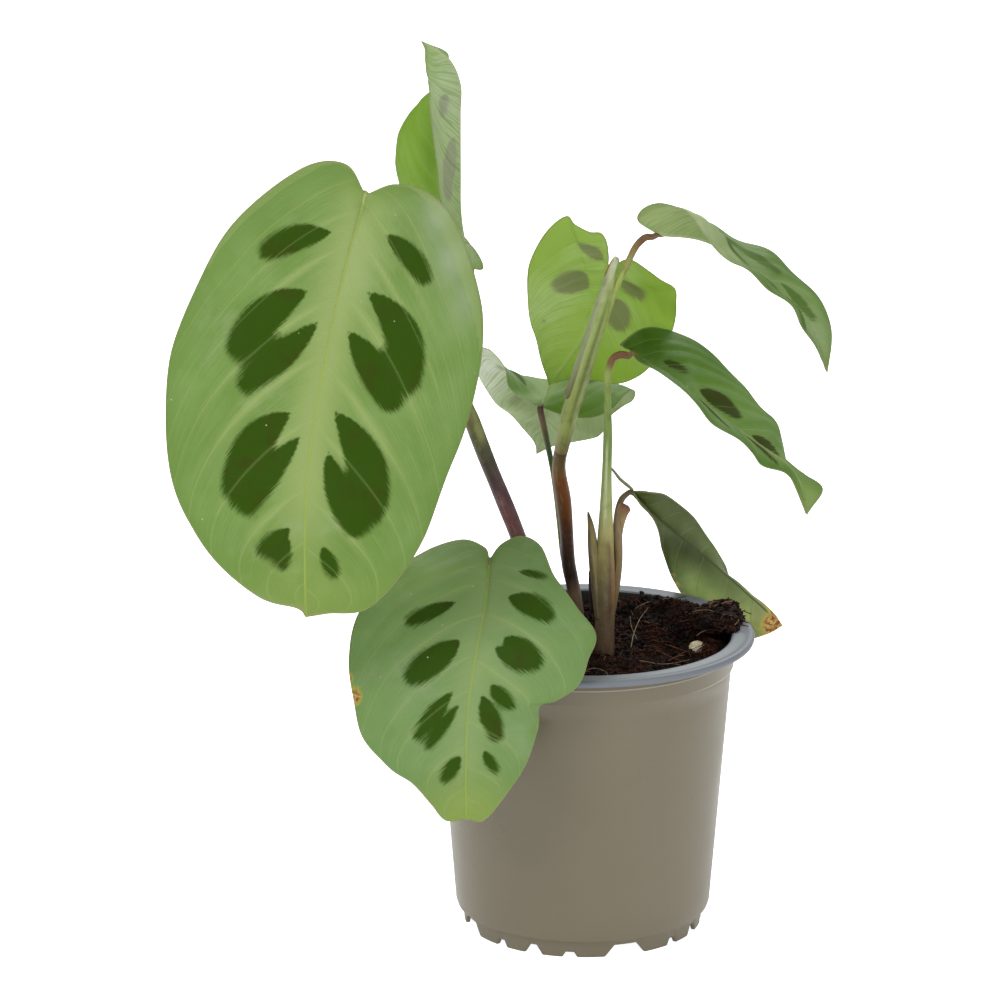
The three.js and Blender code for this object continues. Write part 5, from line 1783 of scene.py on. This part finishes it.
@dataclass
class PottingMix:
    """The soil bed with its crumbs and fibres, the clump on the rim and the perlite bead."""

    bed_radius: float = 51.3
    bed_depth: float = 6.0
    pitch: float = 0.75
    clump_centre: Triple = (48.5, 14.0, 106.4)
    clump_size: Triple = (8.8, 14.5, 4.9)
    bead_centre: Triple = (40.0, 3.0, 99.3)
    bead_radius: float = 2.8
    rim_inside: float = 50.3
    rim_top: float = 106.5
    crumb_reach: float = 50.2
    fibre_reach: float = 47.4
    clump_underside: float = 103.0

    def build(self, groups: SharedGroups) -> None:
        """Every piece of the potting mix, dressed and tied to the frame.

        Args:
            groups: The node groups that finishes share.
        """
        dark, coir, straw, red, white = (SoilFinish(*look).material(groups) for look in (
            ("peat", 0x120907, 0x2E180F, 0x4E3422),
            ("coir_fibre", 0x34190F, 0x582F1E, 0x84603E, 0.7),
            ("straw_fibre", 0x8A6A48, 0xB09470, 0xCDBB98, 0.6),
            ("root_fibre", 0x6E3A22, 0x965A38, 0xB88860, 0.6),
            ("pale_root", 0xA08C70, 0xC4B498, 0xDDD2BC, 0.6)))
        bed = self._bed()
        clump = self._stone("clod_on_rim", 6, self._clod_point)
        bead = self._stone("perlite_stone", 5, self._bead_point)
        for piece, finish, slot, node in (
                (bed, dark, "soil", "soil"), (clump, dark, "soil", "soil_clump"),
                (bead, BeadFinish().material(groups), "perlite", "perlite_bead")):
            piece.data.materials.append(finish)
            adopt(piece, slot, node)
        scatter = SoilScatter()
        for label, piece, crowd, straws in (("bed", bed, 1.0, 5.5e3), ("clump", clump, 0.6, 2.6e4)):
            for kind, tree, values in (
                    ("crumbs", scatter.crumbs,
                     {"Density": 2.1e5, "Seed": 11, "Smallest": 0.0004, "Largest": 0.0016,
                      "Finish": dark}),
                    ("coir", scatter.fibres,
                     {"Density": 1.5e5 * crowd, "Seed": 23, "Shortest": 0.0025,
                      "Longest": 0.0095, "Radius": 0.00019, "Tilt": 0.45 * crowd,
                      "Bend": 0.0045, "Finish": coir}),
                    ("straw", scatter.fibres,
                     {"Density": straws, "Seed": 5, "Shortest": 0.004, "Longest": 0.012,
                      "Radius": 0.00013, "Tilt": 0.3, "Bend": 0.004, "Finish": straw})):
                adopt(self._strew(piece, f"{label}_{kind}", tree, values), "soil")
        self._rootlets(straw, red, white)

    def _bed(self) -> Object:
        """Closed body: a rough top, a side and a flat underside."""
        rings = int(self.bed_radius / self.pitch)
        turns = [2 * math.pi * k / SOIL_SIDES for k in range(SOIL_SIDES)]
        points = [(0.0, 0.0, self._rough(0, 0))]
        for ring in range(1, rings + 1):
            radius = self.bed_radius * ring / rings
            for turn in turns:
                x, y = radius * math.cos(turn), radius * math.sin(turn)
                points.append((x, y, self._rough(x, y)))
        base = len(points)
        low = SOIL_LEVEL - self.bed_depth
        radius = self.bed_radius - 0.9
        points += [(radius * math.cos(turn), radius * math.sin(turn), low) for turn in turns]
        foot = len(points)
        points.append((0.0, 0.0, low))
        sides = [(k, (k + 1) % SOIL_SIDES) for k in range(SOIL_SIDES)]
        faces = [(0, 1 + k, 1 + after) for k, after in sides]
        for here in range(1, base, SOIL_SIDES):
            there = here + SOIL_SIDES
            faces += [(here + k, there + k, there + after, here + after) for k, after in sides]
        faces += [(foot, base + after, base + k) for k, after in sides]
        return make_mesh("soil_bed", np.array(points), faces)

    @staticmethod
    def _rough(x: float, y: float) -> float:
        """Soil height with clods, grit and three slight heaps.

        Args:
            x: Place across in millimetres.
            y: Place in depth.

        Returns:
            The height in millimetres.
        """
        spot = Vector((x * 0.16, y * 0.16, 3.1))
        clods = noise.fractal(spot, 0.9, 2.1, 4)
        pits = noise.noise(Vector((x * 0.62, y * 0.62, 9.0)))
        heaped = (4.6 * math.exp(-((x - 26) / 26) ** 2 - ((y - 45) / 10) ** 2)
                  + 3.6 * math.exp(-((x - 37) / 8) ** 2 - ((y - 27) / 12) ** 2)
                  + 2.6 * math.exp(-((x - 49) / 5) ** 2 - ((y - 4) / 10) ** 2))
        return soil_height(x, y) + heaped + 1.1 * clods + 0.7 * pits - 0.5

    @staticmethod
    def _stone(name: str, subdivisions: int, shift: Callable[[Vector], Vector]) -> Object:
        """A ball of radius one with each point moved by a rule.

        Args:
            name: The piece's name.
            subdivisions: How finely the ball is divided.
            shift: Gives a point's new place in millimetres.

        Returns:
            The new piece.
        """
        shape = bmesh.new()
        bmesh.ops.create_icosphere(shape, subdivisions=subdivisions, radius=1.0)
        for vertex in shape.verts:
            vertex.co = (shift(vertex.co) + Vector(POT_AXIS)) * MM
        mesh = bpy.data.meshes.new(name)
        shape.to_mesh(mesh)
        shape.free()
        return link_smooth(name, mesh)

    def _clod_point(self, spot: Vector) -> Vector:
        """Rough clod that leans over the rim and sinks no deeper than the soil.

        Args:
            spot: A point of the ball of radius one.

        Returns:
            Its new place in millimetres.
        """
        x, y, z = spot
        swell = (1 + 0.09 * math.sin(5.1 * x + 1.3 * y) + 0.07 * math.cos(6.3 * y - 2.2 * z)
                 + 0.05 * math.sin(8.7 * z + 3.1 * x))
        rough = 1 + 0.10 * noise.fractal(spot * 3.2, 0.8, 2.2, 5) - 0.03
        place = Vector([centre + size * swell * rough * way for centre, size, way
                        in zip(Vector(self.clump_centre), self.clump_size, spot)])
        if math.hypot(place.x, place.y) > self.rim_inside:
            place.z = max(place.z, self.rim_top)
        else:
            place.z = max(place.z, soil_height(place.x, place.y) - 0.4)
        return place

    def _bead_point(self, spot: Vector) -> Vector:
        """Cream bead with a crack across it.

        Args:
            spot: A point of the ball of radius one.

        Returns:
            Its new place in millimetres.
        """
        x, y, z = spot
        crack = abs(z * 0.8 + 0.45 * x + 0.12 * math.sin(6 * x) - 0.05)
        swell = (1 + 0.035 * noise.fractal(spot * 3.0, 0.9, 2.0, 4)
                 - 0.10 * math.exp(-(crack / 0.07) ** 2))
        size = self.bead_radius * swell
        place = Vector((size * 1.03 * x, size * 0.93 * y, size * 0.85 * z))
        return place + Vector(self.bead_centre)

    def _strew(self, piece: Object, name: str, tree: NodeTree, values: dict[str, object]) -> Object:
        """Strews bits over the upward faces of a piece.

        Args:
            piece: The bed or the clump.
            name: The new piece's name.
            tree: The crumb or the fibre tree.
            values: The tree's inputs.

        Returns:
            The new piece.
        """
        source = piece.data
        faces = [tuple(polygon.vertices) for polygon in source.polygons
                 if self._is_ground(polygon, name)]
        ground = bpy.data.meshes.new(f"{name}_ground")
        ground.from_pydata([tuple(vertex.co) for vertex in source.vertices], [], faces)
        return bake_nodes(link_new(f"{name}_guide", ground), name, tree, values)

    def _is_ground(self, polygon: bpy.types.MeshPolygon, name: str) -> bool:
        """True for the faces that bits may lie on.

        Args:
            polygon: A face of the bed or the clump.
            name: The strewn piece's name.

        Returns:
            Whether bits may lie on it.
        """
        centre = polygon.center / MM - Vector(POT_AXIS)
        if name.startswith("bed"):
            limit = self.crumb_reach if name.endswith("crumbs") else self.fibre_reach
            return polygon.normal.z > 0.2 and math.hypot(centre.x, centre.y) < limit
        return polygon.normal.z > -0.3 and centre.z > self.clump_underside

    def _rootlets(self, straw: Material, red: Material, white: Material) -> None:
        """The few long fibres that lie singly on the soil, placed one by one.

        Args:
            straw: Finish of the straws.
            red: Finish of the reddish roots.
            white: Finish of the pale roots.
        """
        sweep = StemSweep()
        routes = [
            ("rootlet_curved", white, 0.15, [(16.7, 2.5, 99.6), (18.2, 17.4, 100.4),
                                             (20.5, 25, 103.2), (23.6, 32.9, 105)]),
            ("rootlet_forked", white, 0.1, [(19, 12, 99.8), (17.4, 20, 101.6), (17, 27, 103.8)]),
            ("rootlet_straight", straw, 0.16, [(34.4, 15.5, 105.2), (38.7, 16.4, 105.2),
                                               (43.3, 15.5, 105.2)]),
            ("rootlet_tan", straw, 0.18, [(19.5, -10.6, 98.6), (27.7, -17.2, 99.4),
                                          (36.9, -13.9, 100)]),
            ("rootlet_loop", straw, 0.14, [(-2, -28, 99.4), (3, -26, 100.6), (7, -28, 100),
                                           (8, -31, 99.2)]),
            ("rootlet_red_long", red, 0.15, [(24.4, 11, 99.8), (31.2, 4, 99.4), (38.6, -4.8, 99.8),
                                             (45.7, -2.5, 100.4)]),
            ("rootlet_red_short", red, 0.15, [(29.2, -13.4, 99.4), (35.1, -4.8, 99.8),
                                              (41.7, 1.2, 100.8), (46.9, 7.4, 101.8)]),
            ("rootlet_red_cross", red, 0.13, [(25.4, -1.4, 99.8), (32, -12.4, 99.8),
                                              (36.7, -17, 99.6)]),
        ]
        for name, skin, radius, route in routes:
            line = along_points(np.array(route, float), np.linspace(0, 1, 24))
            radii = radius * np.linspace(1.0, 0.5, 24)
            adopt(sweep.run(name, line, radii, 6, 2.0, 0.1, skin), "soil")


# ---- Stage ----


@dataclass
class Studio:
    """Camera, lamps, pale surroundings and floor."""

    look: Triple = (-2.22, 1.5, 154.0)
    distance: float = 1600.0
    elevation: float = 15.17
    lens: float = 165.03
    floor_half: float = 9.0

    def camera(self) -> None:
        """Sets the camera at the photograph's view."""
        data = bpy.data.cameras.new("view")
        data.lens = self.lens
        data.sensor_width = 36.0
        data.clip_start = 0.1
        data.clip_end = 60.0
        camera = link_new("view", data)
        lift = math.radians(self.elevation)
        back = Vector((0, -math.cos(lift), math.sin(lift)))
        camera.location = (Vector(self.look) + back * self.distance) * MM
        camera.rotation_euler = (-back).to_track_quat("-Z", "Y").to_euler()
        bpy.context.scene.camera = camera

    def surroundings(self) -> None:
        """Pale even light from all round, and true screen colours."""
        world = bpy.data.worlds.new("studio")
        world.use_nodes = True
        background = world.node_tree.nodes["Background"]
        background.inputs["Color"].default_value = (1.0, 1.0, 1.0, 1.0)
        background.inputs["Strength"].default_value = 0.6
        bpy.context.scene.world = world
        bpy.context.scene.view_settings.view_transform = "Standard"

    def lamps(self) -> None:
        """A large soft lamp high at the front left, a fill, and one from behind."""
        for name, place, size, power in (
                ("key", (-0.9, -1.1, 1.5), 1.1, 13.0),
                ("fill", (1.2, -1.2, 0.7), 1.2, 4.0),
                ("back", (0.3, 1.3, 1.2), 1.0, 10.0)):
            data = bpy.data.lights.new(name, "AREA")
            data.shape = "DISK"
            data.size = size
            data.energy = power
            lamp = link_new(name, data)
            lamp.location = place
            aim = Vector((0, 0, 0.15)) - Vector(place)
            lamp.rotation_euler = aim.to_track_quat("-Z", "Y").to_euler()

    def floor(self) -> None:
        """A plain pale floor."""
        half = self.floor_half / MM
        corners = np.array([(-half, -half, 0), (half, -half, 0), (half, half, 0), (-half, half, 0)])
        floor = make_mesh("floor", corners, [(0, 1, 2, 3)])
        material, w, shader = new_material("floor_white")
        shader.inputs["Base Color"].default_value = (0.93, 0.93, 0.93, 1.0)
        shader.inputs["Roughness"].default_value = 0.9
        shader.inputs["Specular IOR Level"].default_value = 0.1
        shader.inputs["Emission Color"].default_value = (1.0, 1.0, 1.0, 1.0)
        seen = w.add("ShaderNodeLightPath").outputs["Is Camera Ray"]
        w.feed(shader.inputs["Emission Strength"], w.times(seen, 0.7, 0.25))
        floor.data.materials.append(material)


def main() -> None:
    """Builds every piece in order."""
    logging.basicConfig(level=logging.INFO, format="%(name)s %(message)s")
    studio = Studio()
    studio.camera()
    studio.surroundings()
    studio.lamps()
    studio.floor()
    groups = SharedGroups()

    pot = NurseryPot()
    shell = pot.build()
    pot.dress(shell, groups)
    adopt(shell, "pot", "pot")
    PottingMix().build(groups)

    blades = {leaf.name: leaf for leaf in leaves()}
    finishes: dict[str, Material] = {}
    for leaf in blades.values():
        piece = leaf.build()
        leaf.dress(piece, groups, finishes)
        adopt(piece, leaf.slot, leaf.node)

    sweep = StemSweep()
    skins = {
        "petiole": StemSkin("petiole_skin", 0.45, 0.45).material(groups),
        "cane": StemSkin("cane_skin", 0.5, 0.5).material(groups),
        "dry_sheath": StemSkin("dry_skin", 0.7, 0.65).material(groups),
    }
    for stem in stems():
        piece = stem.build(sweep, skins[stem.slot], blades)
        adopt(piece, stem.slot, *stem.nodes)


if __name__ == "__main__":
    main()
